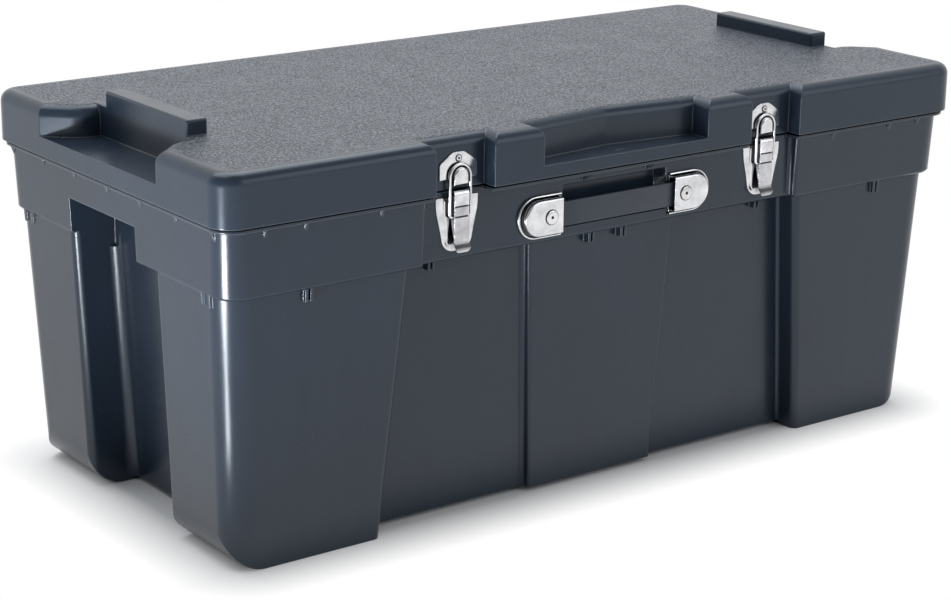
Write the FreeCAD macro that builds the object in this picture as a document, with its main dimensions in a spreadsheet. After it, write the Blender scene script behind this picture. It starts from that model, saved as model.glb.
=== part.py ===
import FreeCAD, Part
import math
import os
import re
import Sketcher
from FreeCAD import Placement, Rotation, Vector

# A moulded plastic storage trunk: a tub on corner feet, a hinged lid, two draw latches and a strap handle.
# Frame: the origin is on the floor under the middle, X runs along the trunk, -Y is the front, Z is up.

doc = FreeCAD.newDocument("storage_trunk")
sheet = doc.addObject("Spreadsheet::Sheet", "sizes")

# Driving dimensions in millimetres. Names ending in _foot are at the floor, _waist just under the band.
SIZES = (
    ("lid_x", 470, "lid, half length"),
    ("lid_y", 231, "lid, half width"),
    ("lid_tall", 52, "lid, height"),
    ("lid_gap", 2.2, "gap between the rim and the lid"),
    ("lid_wall", 4.5, "lid, wall thickness"),
    ("lid_corner", 24, "lid, upright corner radius"),
    ("lid_crown", 12, "lid, radius of all its top edges"),
    ("lid_inner_edge", 4, "lid, bevel of the inside under its top edges"),
    ("inner_wall", 6.5, "lid, wall thickness round its notches and pockets"),
    ("tub_wall", 5, "tub, wall thickness"),
    ("tub_floor", 5, "tub, floor thickness"),
    ("foot_rise", 4.5, "height of the floor over the feet"),
    ("middle_foot_half", 60, "foot under the middle of the floor, half width"),
    ("leg_end_foot", 23, "corner leg, end face, distance inside the lid's end"),
    ("leg_end_waist", 12, "corner leg, end face, distance inside the lid's end"),
    ("leg_front_foot", 31, "corner leg, front face, distance inside the lid's front"),
    ("leg_front_waist", 19, "corner leg, front face, distance inside the lid's front"),
    ("leg_side_foot", 80, "corner leg, inner side, distance from the latch"),
    ("leg_side_waist", 53, "corner leg, inner side, distance from the latch"),
    ("panel_front_foot", 57, "sunk front panels, distance inside the lid's front"),
    ("panel_front_waist", 46, "sunk front panels, distance inside the lid's front"),
    ("centre_half_foot", 82, "raised centre panel, half width"),
    ("centre_half_waist", 95, "raised centre panel, half width"),
    ("centre_front_foot", 48, "raised centre panel, distance inside the lid's front"),
    ("centre_front_waist", 37, "raised centre panel, distance inside the lid's front"),
    ("recess_deep_foot", 74, "end recess, back wall, distance inside the lid's end"),
    ("recess_deep_waist", 58, "end recess, back wall, distance inside the lid's end"),
    ("recess_half", 82, "end recess, half width"),
    ("leg_corner", 28, "corner leg, upright corner radius"),
    ("leg_edge", 8, "radius of the legs' inner edges"),
    ("recess_root", 12, "radius in the end recess's corners"),
    ("panel_edge", 4, "radius along the centre panel"),
    ("toe_radius", 38, "roll under the ends"),
    ("band_low", 276.5, "band, lower edge"),
    ("band_tall", 66.5, "band, height"),
    ("band_end_low", 9, "band, end face at its lower edge, distance inside the lid's end"),
    ("band_end_high", 7, "band, end face under the rim, distance inside the lid's end"),
    ("band_front_low", 11, "band, front face at its lower edge, distance inside the lid's front"),
    ("band_front_high", 8, "band, front face under the rim, distance inside the lid's front"),
    ("block_side", 43, "inner side of the band's corner blocks, distance from the latch"),
    ("mid_inset", 1.5, "middle of the band under latches and handle, depth behind the latch notch"),
    ("band_corner", 26, "band, upright corner radius"),
    ("band_edge", 2.5, "band, bevel of its lower edge"),
    ("block_edge", 4, "band, radius of the blocks' inner edges"),
    ("rim_gauge", 2.8, "rim flange, thickness"),
    ("rim_inset", 3, "rim flange, distance inside the lid's faces"),
    ("rim_corner", 24, "rim flange, corner radius"),
    ("tongue_end", 8.5, "room between the tongue and the lid's end wall"),
    ("tongue_front", 2.5, "room between the tongue and the lid's notch walls"),
    ("tongue_wall", 4.5, "tongue, thickness"),
    ("tongue_rise", 6.5, "tongue, height over the rim"),
    ("tongue_corner", 20, "tongue, corner radius"),
    ("hold_rise", 36.5, "hand hold in the end, height over the band's lower edge"),
    ("hold_front", 53, "hand hold in the end, reach towards the front"),
    ("hold_back", 82, "hand hold in the end, reach towards the back"),
    ("gusset_wide", 3.2, "rib under the rim, thickness"),
    ("gusset_tall", 9.5, "rib under the rim, height"),
    ("gusset_first", 50, "rib under the rim, distance from the lid's end"),
    ("gusset_second", 94, "rib under the rim, distance from the lid's end"),
    ("gusset_third", 178, "rib under the rim, distance from the lid's end"),
    ("gusset_mid", 41, "ribs over the middle of the band, distance from the middle"),
    ("gusset_pitch", 67.4, "ribs under the rim at the ends, spacing"),
    ("clip_wide", 2.8, "stop rib under the band, thickness"),
    ("clip_gap", 2.6, "space between two stop ribs"),
    ("clip_tall", 13, "stop rib under the band, height"),
    ("clip_end_gap", 11, "space between two stop ribs on a leg's end"),
    ("clip_end_tall", 11, "stop rib on a leg's end, height"),
    ("clip_leg_deep", 5, "stop rib on a leg, reach"),
    ("clip_end_deep", 2.5, "stop rib on a leg's end, reach"),
    ("clip_panel_deep", 9, "stop rib on a panel, reach"),
    ("clip_leg", 101, "stop ribs on the legs' fronts, distance from the lid's end"),
    ("clip_end", 50, "stop ribs on the legs' ends, distance from the lid's front"),
    ("clip_panel", 16, "stop ribs on the sunk panels, distance from the latch"),
    ("clip_centre", 21, "stop ribs on the centre panel, distance from the middle"),
    ("rib_root", 3, "how far a rib runs into its wall"),
    ("overlap", 1, "how far blocks run into each other before they are joined"),
    ("overcut", 10, "how far a cut runs past the surface it opens"),
    ("notch_in", 32, "latch notch, distance from the latch to its inner side"),
    ("notch_out", 37, "latch notch, distance from the latch to its outer side"),
    ("notch_deep", 18, "latch notch, depth"),
    ("ledge_half", 106, "front recess of the lid, half width"),
    ("ledge_drop", 39, "front recess of the lid, depth of its floor"),
    ("ledge_side", 25, "front recess of the lid, depth at its sides"),
    ("ledge_mid", 36, "front recess of the lid, depth in the middle"),
    ("slot_inset", 12, "slot in the front recess, distance inside the lid's front"),
    ("slot_long", 12, "slot in the front recess, length"),
    ("slot_wide", 3.5, "slot in the front recess, width"),
    ("slot_deep", 2.5, "slot in the front recess, depth"),
    ("pocket_drop", 32, "end pocket of the lid, depth of its floor"),
    ("pocket_deep", 53, "end pocket of the lid, distance of its inner wall from the end"),
    ("pocket_mouth", 32, "end pocket of the lid, where its sides turn outwards, distance from the end"),
    ("pocket_front", 82, "end pocket of the lid, reach towards the front"),
    ("pocket_back", 96, "end pocket of the lid, reach towards the back"),
    ("pocket_flare", 30, "end pocket of the lid, how far each side opens out"),
    ("pocket_sweep", 34, "end pocket of the lid, radius where its sides turn"),
    ("bar_wide", 23, "raised bar, width"),
    ("bar_front", 78, "raised bar, reach towards the front"),
    ("bar_back", 84, "raised bar, reach towards the back"),
    ("bar_tall", 16, "raised bar, height over the lid"),
    ("bar_edge", 1.6, "raised bar, bevel of its edges"),
    ("hinge_end", 170, "outer hinges, distance from the lid's end"),
    ("hinge_drop", 0.8, "hinge axis, depth under the lid's lower edge"),
    ("hinge_gap", 1, "room between a hinge barrel and the lid"),
    ("barrel_radius", 6.5, "hinge barrel, radius"),
    ("knuckle_long", 15, "hinge knuckle on the tub, length"),
    ("lid_knuckle_long", 28, "hinge knuckle on the lid, length"),
    ("knuckle_gap", 1, "room between two knuckles"),
    ("hinge_arm", 30, "arm under a hinge knuckle, height"),
    ("lid_arm", 12, "arm over a hinge knuckle on the lid, height"),
    ("hinge_pin_radius", 3, "hinge pin, radius"),
    ("pin_room", 0.05, "running clearance of every pin, rivet and screw"),
    ("latch_x", 198, "latch, distance from the middle"),
    ("base_gauge", 1.2, "latch base, sheet thickness"),
    ("base_top", 3, "latch base, distance under the rim"),
    ("base_tall", 54.5, "latch base, height"),
    ("base_shoulder", 15, "latch base, how far down its sides turn in"),
    ("base_waist", 40, "latch base, how far down its bottom begins"),
    ("base_half", 25, "latch base, half width at the top"),
    ("base_waist_half", 18.5, "latch base, half width at the waist"),
    ("base_toe_half", 11, "latch base, half width at the bottom"),
    ("base_toe_edge", 5, "latch base, bevel of its bottom corners"),
    ("step_inset", 5, "raised step of the latch base, distance from the bottom"),
    ("step_top", 2, "raised step of the latch base, distance from the top"),
    ("step_half", 15.5, "raised step of the latch base, half width"),
    ("step_rise", 0.6, "raised step of the latch base, height"),
    ("step_edge", 0.4, "raised step of the latch base, bevel of its edge"),
    ("ear_gauge", 1.5, "ear of the latch base, thickness"),
    ("ear_room", 0.4, "room between an ear and the lever's flange"),
    ("ear_drop", 10, "ear of the latch base, lower end under the base's top"),
    ("ear_nose", 2.6, "ear of the latch base, radius round the pin"),
    ("lever_pin_out", 5.3, "lever pin, distance in front of the band"),
    ("lever_pin_rise", 5, "lever pin, height over the base's top"),
    ("lever_pin_radius", 1.3, "lever pin, radius"),
    ("lever_gauge", 1.2, "lever, sheet thickness"),
    ("lever_inner", 7.5, "lever, inner face of its side flanges"),
    ("lever_out", 9.5, "lever, front face, distance in front of the band"),
    ("lever_root", 2.6, "lever, radius round its pin"),
    ("lever_drop", 54, "lever, lower end under the base's top"),
    ("flange_drop", 25, "lever, where its flanges taper, under the base's top"),
    ("taper_drop", 41, "lever, where its flanges end, under the base's top"),
    ("lever_curl", 3.5, "lever, how far its thumb tip stands out"),
    ("lever_lip", 2, "lever, height of its thumb tip's edge"),
    ("bail_out", 6.3, "bail, distance of its plane in front of the band"),
    ("bail_drop", 19, "bail, depth of its pivot under the base's top"),
    ("bail_reach", 16, "bail, height of its loop over the keeper's lower edge"),
    ("bail_half", 12.2, "bail, half width at the wire's middle"),
    ("wire_radius", 1.5, "bail, wire radius"),
    ("wire_bend", 3.2, "bail, bend radius at the pivots"),
    ("foot_reach", 0.5, "bail, how far its feet stand past the lever's flanges"),
    ("keeper_gauge", 1.6, "keeper, sheet thickness"),
    ("keeper_lift", 10, "keeper, lower edge over the lid's lower edge"),
    ("keeper_side", 15, "keeper, height of its straight sides"),
    ("keeper_tall", 26, "keeper, height"),
    ("keeper_half", 22, "keeper, half width"),
    ("keeper_top_half", 7, "keeper, half width at the top"),
    ("hook_half", 8.5, "hook of the keeper, half width"),
    ("hook_room", 0.8, "room between the hook and the bail"),
    ("hook_tall", 17.5, "hook of the keeper, height"),
    ("hook_reach", 6.5, "hook of the keeper, reach"),
    ("hook_crown", 7, "hook of the keeper, bevel of its top"),
    ("hook_nose", 1.2, "hook of the keeper, bevel of its nose"),
    ("rivet_radius", 1.8, "rivets, shank radius"),
    ("rivet_head", 3.6, "rivets, head radius"),
    ("rivet_rise", 1.2, "rivets, head height"),
    ("rivet_drop_low", 31, "lower rivet of the latch base, depth under the base's top"),
    ("rivet_drop_high", 13, "upper rivet of the latch base, depth under the base's top"),
    ("keeper_rivet_drop", 6, "rivet of the keeper, depth under its top"),
    ("handle_rise", 27.5, "handle, height of its middle over the band's lower edge"),
    ("handle_screw_x", 87.6, "handle screws, distance from the middle"),
    ("plate_gauge", 1.5, "handle plate, sheet thickness"),
    ("plate_in", 16.6, "handle plate, straight end, distance from the screw"),
    ("plate_out", 37, "handle plate, round end, distance from the screw"),
    ("plate_half", 22.2, "handle plate, half height"),
    ("plate_lip", 2, "handle plate, height of its rolled lip"),
    ("cap_in", 14.6, "handle cap, open end, distance from the screw"),
    ("cap_out", 31.9, "handle cap, round end, distance from the screw"),
    ("cap_half", 18.6, "handle cap, half height"),
    ("cap_rise", 8, "handle cap, height over its plate"),
    ("cap_gauge", 1.6, "handle cap, sheet thickness"),
    ("cap_dome", 2, "handle cap, bevel of its edge"),
    ("strap_out", 3.9, "strap, distance of its middle in front of the band"),
    ("strap_gauge", 1.2, "strap, steel thickness"),
    ("strap_half", 10, "strap, half width of the steel"),
    ("strap_past", 16.4, "strap, length past the screws"),
    ("slot_half", 3.4, "strap, half width of its end slots"),
    ("slot_run", 7, "strap, half length of its end slots"),
    ("grip_half", 13, "grip, half width"),
    ("grip_gauge", 3.6, "grip, thickness"),
    ("grip_short", 8.6, "grip, distance of its ends from the screws"),
    ("grip_edge", 1.2, "grip, bevel of its edges"),
    ("screw_radius", 1.9, "handle screw, shank radius"),
    ("screw_head", 8.2, "handle screw, head radius"),
    ("screw_rise", 1.2, "handle screw, head height"),
    ("screw_dimple", 1.2, "handle screw, radius of the dimple in its head"),
    ("screw_tail", 9, "handle screw, length past the tub's wall"),
    ("nut_radius", 4.1, "handle nut, radius over its corners"),
    ("nut_tall", 3.2, "handle nut, height"),
    ("finger_short", 5, "finger pocket behind the strap, distance of its ends from the caps"),
    ("finger_below", 16, "finger pocket, reach under the handle's middle"),
    ("finger_above", 29, "finger pocket, reach over the handle's middle"),
    ("finger_deep", 15, "finger pocket, depth"),
    ("finger_slope", 5, "finger pocket, how far its sides slope in"),
)

# What follows from them: pieces that meet take their places from the same values.
FITS = (
    ("leg_x_foot", "lid_x - leg_end_foot", "corner leg, end face"),
    ("leg_x_waist", "lid_x - leg_end_waist", "corner leg, end face"),
    ("leg_y_foot", "lid_y - leg_front_foot", "corner leg, front face"),
    ("leg_y_waist", "lid_y - leg_front_waist", "corner leg, front face"),
    ("leg_inner_foot", "latch_x + leg_side_foot", "corner leg, inner side on the front"),
    ("leg_inner_waist", "latch_x + leg_side_waist", "corner leg, inner side on the front"),
    ("panel_y_foot", "lid_y - panel_front_foot", "sunk front panels"),
    ("panel_y_waist", "lid_y - panel_front_waist", "sunk front panels"),
    ("centre_y_foot", "lid_y - centre_front_foot", "raised centre panel"),
    ("centre_y_waist", "lid_y - centre_front_waist", "raised centre panel"),
    ("recess_x_foot", "lid_x - recess_deep_foot", "end recess, back wall"),
    ("recess_x_waist", "lid_x - recess_deep_waist", "end recess, back wall"),
    ("rim_low", "band_low + band_tall", "rim flange, underside"),
    ("rim_high", "rim_low + rim_gauge", "rim flange, top"),
    ("lid_low", "rim_high + lid_gap", "lid, lower edge of the skirt"),
    ("lid_high", "lid_low + lid_tall", "lid, top"),
    ("band_x_low", "lid_x - band_end_low", "band, end face at its lower edge"),
    ("band_x_high", "lid_x - band_end_high", "band, end face under the rim"),
    ("band_y_low", "lid_y - band_front_low", "band, front face at its lower edge"),
    ("band_y_high", "lid_y - band_front_high", "band, front face under the rim"),
    ("block_x", "latch_x + block_side", "inner side of the band's corner blocks"),
    ("notch_inner", "latch_x - notch_in", "latch notch, inner side"),
    ("notch_outer", "latch_x + notch_out", "latch notch, outer side"),
    ("notch_y", "lid_y - notch_deep", "latch notch, back wall"),
    ("mid_y", "notch_y - mid_inset", "middle of the band"),
    ("rim_x", "lid_x - rim_inset", "rim flange, end"),
    ("rim_y", "lid_y - rim_inset", "rim flange, front"),
    ("tongue_x", "lid_x - lid_wall - tongue_end", "tongue inside the lid, end"),
    ("tongue_y", "notch_y - lid_wall - tongue_front", "tongue inside the lid, front"),
    ("tongue_high", "rim_high + tongue_rise", "tongue, top"),
    ("hold_high", "band_low + hold_rise", "hand hold in the end, top"),
    ("ledge_z", "lid_high - ledge_drop", "front recess of the lid, floor"),
    ("ledge_side_y", "lid_y - ledge_side", "front recess of the lid, back wall at its sides"),
    ("ledge_mid_y", "lid_y - ledge_mid", "front recess of the lid, back wall in the middle"),
    ("slot_y", "lid_y - slot_inset", "slot in the front recess"),
    ("pocket_z", "lid_high - pocket_drop", "end pocket of the lid, floor"),
    ("pocket_x", "lid_x - pocket_deep", "end pocket of the lid, inner wall"),
    ("pocket_turn_x", "lid_x - pocket_mouth", "end pocket of the lid, where its sides turn outwards"),
    ("hinge_x", "lid_x - hinge_end", "outer hinges, distance from the middle"),
    ("hinge_y", "lid_y + barrel_radius + hinge_gap", "hinge axis, distance behind the middle"),
    ("hinge_z", "lid_low - hinge_drop", "hinge axis, height"),
    ("base_high", "rim_low - base_top", "latch base, top"),
    ("base_low", "base_high - base_tall", "latch base, bottom"),
    ("base_shoulder_z", "base_high - base_shoulder", "latch base, where its sides turn in"),
    ("base_waist_z", "base_high - base_waist", "latch base, where its bottom begins"),
    ("base_rivet_low", "base_high - rivet_drop_low", "lower rivet of the latch base"),
    ("base_rivet_high", "base_high - rivet_drop_high", "upper rivet of the latch base"),
    ("ear_low", "base_high - ear_drop", "ear of the latch base, lower end"),
    ("ear_inner", "lever_inner - ear_room - ear_gauge", "ear of the latch base, inner face"),
    ("lever_pin_y", "mid_y + lever_pin_out", "lever pin, distance in front of the middle plane"),
    ("lever_pin_z", "base_high + lever_pin_rise", "lever pin, height"),
    ("lever_front", "mid_y + lever_out", "lever, front face"),
    ("lever_back", "lever_pin_y - lever_root", "lever, back edge of its flanges"),
    ("lever_low", "base_high - lever_drop", "lever, lower end"),
    ("lever_flange_low", "base_high - flange_drop", "lever, where its flanges taper"),
    ("lever_taper_low", "base_high - taper_drop", "lever, where its flanges end"),
    ("keeper_low", "lid_low + keeper_lift", "keeper, lower edge"),
    ("keeper_shoulder_z", "keeper_low + keeper_side", "keeper, where its sides slope in"),
    ("keeper_high", "keeper_low + keeper_tall", "keeper, top"),
    ("keeper_rivet_z", "keeper_high - keeper_rivet_drop", "rivet of the keeper"),
    ("bail_y", "mid_y + bail_out", "bail, distance of its plane in front of the middle plane"),
    ("bail_low", "base_high - bail_drop", "bail, height of its pivot on the lever"),
    ("bail_high", "keeper_low + bail_reach", "bail, top of its loop"),
    ("handle_z", "band_low + handle_rise", "handle, height of its middle"),
    ("plate_inner", "handle_screw_x - plate_in", "handle plate, straight end"),
    ("plate_outer", "handle_screw_x + plate_out", "handle plate, round end"),
    ("cap_inner", "handle_screw_x - cap_in", "handle cap, open end"),
    ("cap_outer", "handle_screw_x + cap_out", "handle cap, round end"),
    ("strap_y", "mid_y + strap_out", "strap, distance of its middle in front of the middle plane"),
    ("strap_end", "handle_screw_x + strap_past", "strap, end"),
    ("grip_end", "handle_screw_x - grip_short", "grip, end"),
    ("finger_half", "cap_inner - finger_short", "finger pocket behind the strap, half width"),
    ("finger_low", "handle_z - finger_below", "finger pocket, lower edge"),
    ("finger_high", "handle_z + finger_above", "finger pocket, upper edge"),
)
for row, (alias, value, note) in enumerate(SIZES + FITS, start=1):
    sheet.set(f"A{row}", note)
    sheet.set(f"B{row}", str(value) if row <= len(SIZES) else "=" + value)
    sheet.setAlias(f"B{row}", alias)
doc.recompute()


def tie(text):
    """Sizes named in a formula, written as references to the sheet."""
    return re.sub(r"[a-z]\w*", lambda word: "sizes." + word.group(), text)


def number(text):
    return float(sheet.evalExpression(tie(text)))


def minus(text):
    return f"-({text})"


def bind(item, **formulas):
    """Ties properties to formulas; a double underscore in a name stands for a dot."""
    for name, text in formulas.items():
        item.setExpression(name.replace("__", "."), tie(text))


def place(item, x="0", y="0", z="0", axis=(0, 0, 1), turn=0):
    item.Placement = Placement(Vector(), Rotation(Vector(*axis), turn))
    bind(item, Placement__Base__x=x, Placement__Base__y=y, Placement__Base__z=z)
    return item


# Sketched bodies


def new_body(name):
    body = doc.addObject("PartDesign::Body", name)
    body.Label = name
    return body


def origin_plane(body, role):
    return [item for item in body.Origin.OriginFeatures if item.Role == role][0]


def new_sketch(body, name, role, lift="0"):
    """A sketch on an origin plane, lifted along its normal: +Z for XY, -Y for XZ and +X for YZ."""
    sketch = body.newObject("Sketcher::SketchObject", name)
    sketch.AttachmentSupport = (origin_plane(body, role), [""])
    sketch.MapMode = "FlatFace"
    sketch.setExpression("AttachmentOffset.Base.z", tie(lift))
    return sketch


def outline(sketch, corners):
    """A closed outline of straight sides, each corner tied to two formulas."""
    points = [Vector(number(x), number(y), 0) for x, y in corners]
    count = len(points)
    sides = [Part.LineSegment(points[i], points[(i + 1) % count]) for i in range(count)]
    sketch.addGeometry(sides, False)
    rules = [Sketcher.Constraint("Coincident", i, 2, (i + 1) % count, 1) for i in range(count)]
    formulas = []
    for i, pair in enumerate(corners):
        for kind, text in zip(("DistanceX", "DistanceY"), pair):
            formulas.append((len(rules), text))
            rules.append(Sketcher.Constraint(kind, -1, 1, i, 1, number(text)))
    sketch.addConstraint(rules)
    for index, text in formulas:
        sketch.setExpression(f"Constraints[{index}]", tie(text))


def rectangle(sketch, x_low, x_high, y_low, y_high):
    outline(sketch, [(x_low, y_low), (x_high, y_low), (x_high, y_high), (x_low, y_high)])


def rounded_tab(sketch, x_flat, x_round, half):
    """A tab with one straight end and one rounded end, drawn with ten sides to its half circle."""
    corners = [(x_flat, half), (x_flat, minus(half))]
    for i in range(11):
        angle = math.pi * (i / 10 - 0.5)
        ahead, aside = math.cos(angle), math.sin(angle)
        corners.append((f"({x_round}) - ({half}) * {1 - ahead:.5f}", f"({half}) * {aside:.5f}"))
    outline(sketch, corners)


def many_sided(sketch, x, y, radius, sides):
    """A round section drawn with a few sides, its corners on the circle."""
    corners = []
    for i in range(sides):
        angle = math.pi * (2 * i + 1) / sides
        aside, ahead = math.cos(angle), math.sin(angle)
        corners.append((f"{x} + ({radius}) * {aside:.5f}", f"{y} + ({radius}) * {ahead:.5f}"))
    outline(sketch, corners)


def circle(sketch, x, y, radius):
    centre = Vector(number(x), number(y), 0)
    ring = sketch.addGeometry(Part.Circle(centre, Vector(0, 0, 1), number(radius)), False)
    rules = (
        ("DistanceX", (-1, 1, ring, 3), x),
        ("DistanceY", (-1, 1, ring, 3), y),
        ("Radius", (ring,), radius),
    )
    for kind, where, text in rules:
        index = sketch.addConstraint(Sketcher.Constraint(kind, *where, number(text)))
        sketch.setExpression(f"Constraints[{index}]", tie(text))


def finish_feature(body, feature):
    body.Tip = feature
    doc.recompute([feature])
    return feature


def pad(body, name, sketch, length, side="One side", reverse=False):
    feature = body.newObject("PartDesign::Pad", name)
    feature.Profile = sketch
    feature.SideType = side
    feature.Reversed = reverse
    bind(feature, Length=length)
    return finish_feature(body, feature)


def pocket(body, name, sketch, depth=None, side="One side", reverse=False):
    """A cut against the sketch's normal, to a depth or through everything, that has to remove something."""
    before = body.Tip.Shape.Volume
    feature = body.newObject("PartDesign::Pocket", name)
    feature.Profile = sketch
    feature.SideType = side
    feature.Reversed = reverse
    if depth is None:
        feature.Type = "ThroughAll"
    else:
        bind(feature, Length=depth)
    finish_feature(body, feature)
    if not feature.Shape.Volume < before:
        raise RuntimeError(name + " cuts nothing")
    return feature


def wedge(body, name, heights, first, last, role="XZ_Plane", cut=False):
    """A block that tapers from its first end to its last; each end is a range across and a range outwards.

    On the XZ plane it stands up along Z and outwards means forwards; on the XY plane it runs back along Y.
    """
    feature = body.newObject("PartDesign::SubtractiveWedge" if cut else "PartDesign::AdditiveWedge", name)
    feature.AttachmentSupport = (origin_plane(body, role), [""])
    feature.MapMode = "FlatFace"
    across, outwards = first
    bind(feature, Ymin=heights[0], Ymax=heights[1])
    bind(feature, Xmin=across[0], Xmax=across[1], Zmin=outwards[0], Zmax=outwards[1])
    across, outwards = last
    bind(feature, X2min=across[0], X2max=across[1], Z2min=outwards[0], Z2max=outwards[1])
    return finish_feature(body, feature)


def both_ways(text):
    return minus(text), text


def revolve(body, name, sketch, angle=360, reverse=False):
    feature = body.newObject("PartDesign::Revolution", name)
    feature.Profile = sketch
    feature.ReferenceAxis = (sketch, ["V_Axis"])
    feature.Angle = angle
    feature.Reversed = reverse
    return finish_feature(body, feature)


def mirrored(body, name, features, role):
    copy = body.newObject("PartDesign::Mirrored", name)
    copy.Originals = features
    copy.MirrorPlane = (origin_plane(body, role), [""])
    return finish_feature(body, copy)


def dress_edges(kind, size_name, body, name, size, chosen):
    base = body.Tip
    edges = [f"Edge{i}" for i, edge in enumerate(base.Shape.Edges, start=1) if chosen(edge)]
    feature = body.newObject(kind, name)
    feature.Base = (base, edges)
    bind(feature, **{size_name: size})
    return finish_feature(body, feature)


def round_edges(body, name, radius, chosen):
    return dress_edges("PartDesign::Fillet", "Radius", body, name, radius, chosen)


def bevel_edges(body, name, size, chosen):
    return dress_edges("PartDesign::Chamfer", "Size", body, name, size, chosen)


# How edges are told apart


def span(edge):
    box = edge.BoundBox
    return Vector(box.XLength, box.YLength, box.ZLength)


def runs_along(edge, axis):
    reach = span(edge)
    return reach.Length > 0 and getattr(reach, axis) > 0.9 * reach.Length


def stands_at(edge, x, y, slack=2):
    """An upright edge whose middle is at a distance x and y from the middle planes."""
    middle = edge.BoundBox.Center
    return runs_along(edge, "z") and abs(abs(middle.x) - x) < slack and abs(abs(middle.y) - y) < slack


def lies_at(edge, axis, value, slack=0.01):
    """An edge that lies in the plane where axis equals value."""
    box = edge.BoundBox
    low = {"x": box.XMin, "y": box.YMin, "z": box.ZMin}[axis]
    high = {"x": box.XMax, "y": box.YMax, "z": box.ZMax}[axis]
    return abs(low - value) < slack and abs(high - value) < slack


# Solids and their sums and differences


def box(name, x, y, z):
    """A block from three pairs of formulas, each the low and the high end along one axis."""
    item = doc.addObject("Part::Box", name)
    bind(item, Length=f"({x[1]}) - ({x[0]})", Width=f"({y[1]}) - ({y[0]})", Height=f"({z[1]}) - ({z[0]})")
    return place(item, x[0], y[0], z[0])


ALONG = {"x": ((0, 1, 0), 90), "y": ((1, 0, 0), -90), "z": ((0, 0, 1), 0)}


def rod(name, axis, radius, length, x="0", y="0", z="0"):
    """A round bar from a start point along +X, +Y or +Z."""
    item = doc.addObject("Part::Cylinder", name)
    bind(item, Radius=radius, Height=length)
    direction, turn = ALONG[axis]
    return place(item, x, y, z, direction, turn)


def join(name, pieces):
    item = doc.addObject("Part::MultiFuse", name)
    item.Shapes = pieces
    item.Refine = True
    doc.recompute([item])
    return item


def take(name, base, tools):
    """What is left of base without the tools."""
    item = doc.addObject("Part::Cut", name)
    item.Base = base
    item.Tool = tools[0] if len(tools) == 1 else join(name + "_tools", tools)
    doc.recompute([item])
    return item


def group(name, pieces):
    item = doc.addObject("Part::Compound", name)
    item.Links = pieces
    doc.recompute([item])
    return item


SIDES = (("left", "-1"), ("right", "1"))
BEYOND = "lid_x + 50"

# The tub below its band: four tapered legs with sunk panels between them


def middle_of(name, inset=0):
    return number(f"({name}_foot + {name}_waist) / 2") + inset


def lower_form(name, inset, low, high, outside):
    """The legs and panels as one solid between two levels, moved inwards by inset.

    The outside has all its upright edges rounded, the inside only those in its corners.
    """
    body = new_body(name)
    levels = (low, high)

    def tapered(title, across, outwards, cut=False):
        ends = [[pair(stage) for pair in (across, outwards)] for stage in ("foot", "waist")]
        wedge(body, f"{name}_{title}", levels, ends[0], ends[1], cut=cut)

    def legs_across(stage):
        return both_ways(f"leg_x_{stage} - {inset}")

    def legs_out(stage):
        return both_ways(f"leg_y_{stage} - {inset}")

    def panels_across(stage):
        return both_ways(f"leg_inner_{stage} + {inset}")

    def front_out(stage):
        return f"panel_y_{stage} - {inset}", BEYOND

    def back_out(stage):
        return minus(BEYOND), f"-panel_y_{stage} + {inset}"

    def right_across(stage):
        return f"recess_x_{stage} - {inset}", BEYOND

    def left_across(stage):
        return minus(BEYOND), f"-recess_x_{stage} + {inset}"

    def recess_out(stage):
        return both_ways(f"recess_half + {inset}")

    def centre_across(stage):
        return both_ways(f"centre_half_{stage} - {inset}")

    def centre_out(stage):
        return both_ways(f"centre_y_{stage} - {inset}")

    tapered("legs", legs_across, legs_out)
    tapered("front_panels", panels_across, front_out, cut=True)
    tapered("back_panels", panels_across, back_out, cut=True)
    tapered("right_recess", right_across, recess_out, cut=True)
    tapered("left_recess", left_across, recess_out, cut=True)
    tapered("centre", centre_across, centre_out)
    wall = number(inset)
    x_leg, y_leg = middle_of("leg_x", -wall), middle_of("leg_y", -wall)
    x_inner, y_panel = middle_of("leg_inner", wall), middle_of("panel_y", -wall)
    x_centre, y_centre = middle_of("centre_half", -wall), middle_of("centre_y", -wall)
    x_recess, y_recess = middle_of("recess_x", -wall), number(f"recess_half + {inset}")
    round_edges(body, name + "_corners", f"leg_corner - {inset}", lambda e: stands_at(e, x_leg, y_leg))
    if not outside:
        return body
    round_edges(
        body,
        name + "_leg_edges",
        "leg_edge",
        lambda e: stands_at(e, x_inner, y_leg) or stands_at(e, x_leg, y_recess),
    )
    round_edges(body, name + "_recess_roots", "recess_root", lambda e: stands_at(e, x_recess, y_recess))
    round_edges(
        body,
        name + "_panel_edges",
        "panel_edge",
        lambda e: stands_at(e, x_centre, y_centre)
        or stands_at(e, x_centre, y_panel)
        or stands_at(e, x_inner, y_panel),
    )
    return body


TOE_X = "leg_x_foot + (leg_x_waist - leg_x_foot) * toe_radius / band_low - toe_radius"


def toe_cutter(name, sign, inset):
    """What the roll under one end takes off: a corner block less the round that stays."""
    far, near = (BEYOND, TOE_X) if sign > 0 else (minus(TOE_X), minus(BEYOND))
    ends = (near, far) if sign > 0 else (far, near)
    corner = box(name + "_block", sorted(ends, key=number), both_ways(BEYOND), ("-overcut", "toe_radius"))
    x = TOE_X if sign > 0 else minus(TOE_X)
    long = f"2 * ({BEYOND})"
    stays = rod(name + "_round", "y", f"toe_radius - {inset}", long, x, minus(BEYOND), "toe_radius")
    return take(name, corner, [stays])


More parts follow.
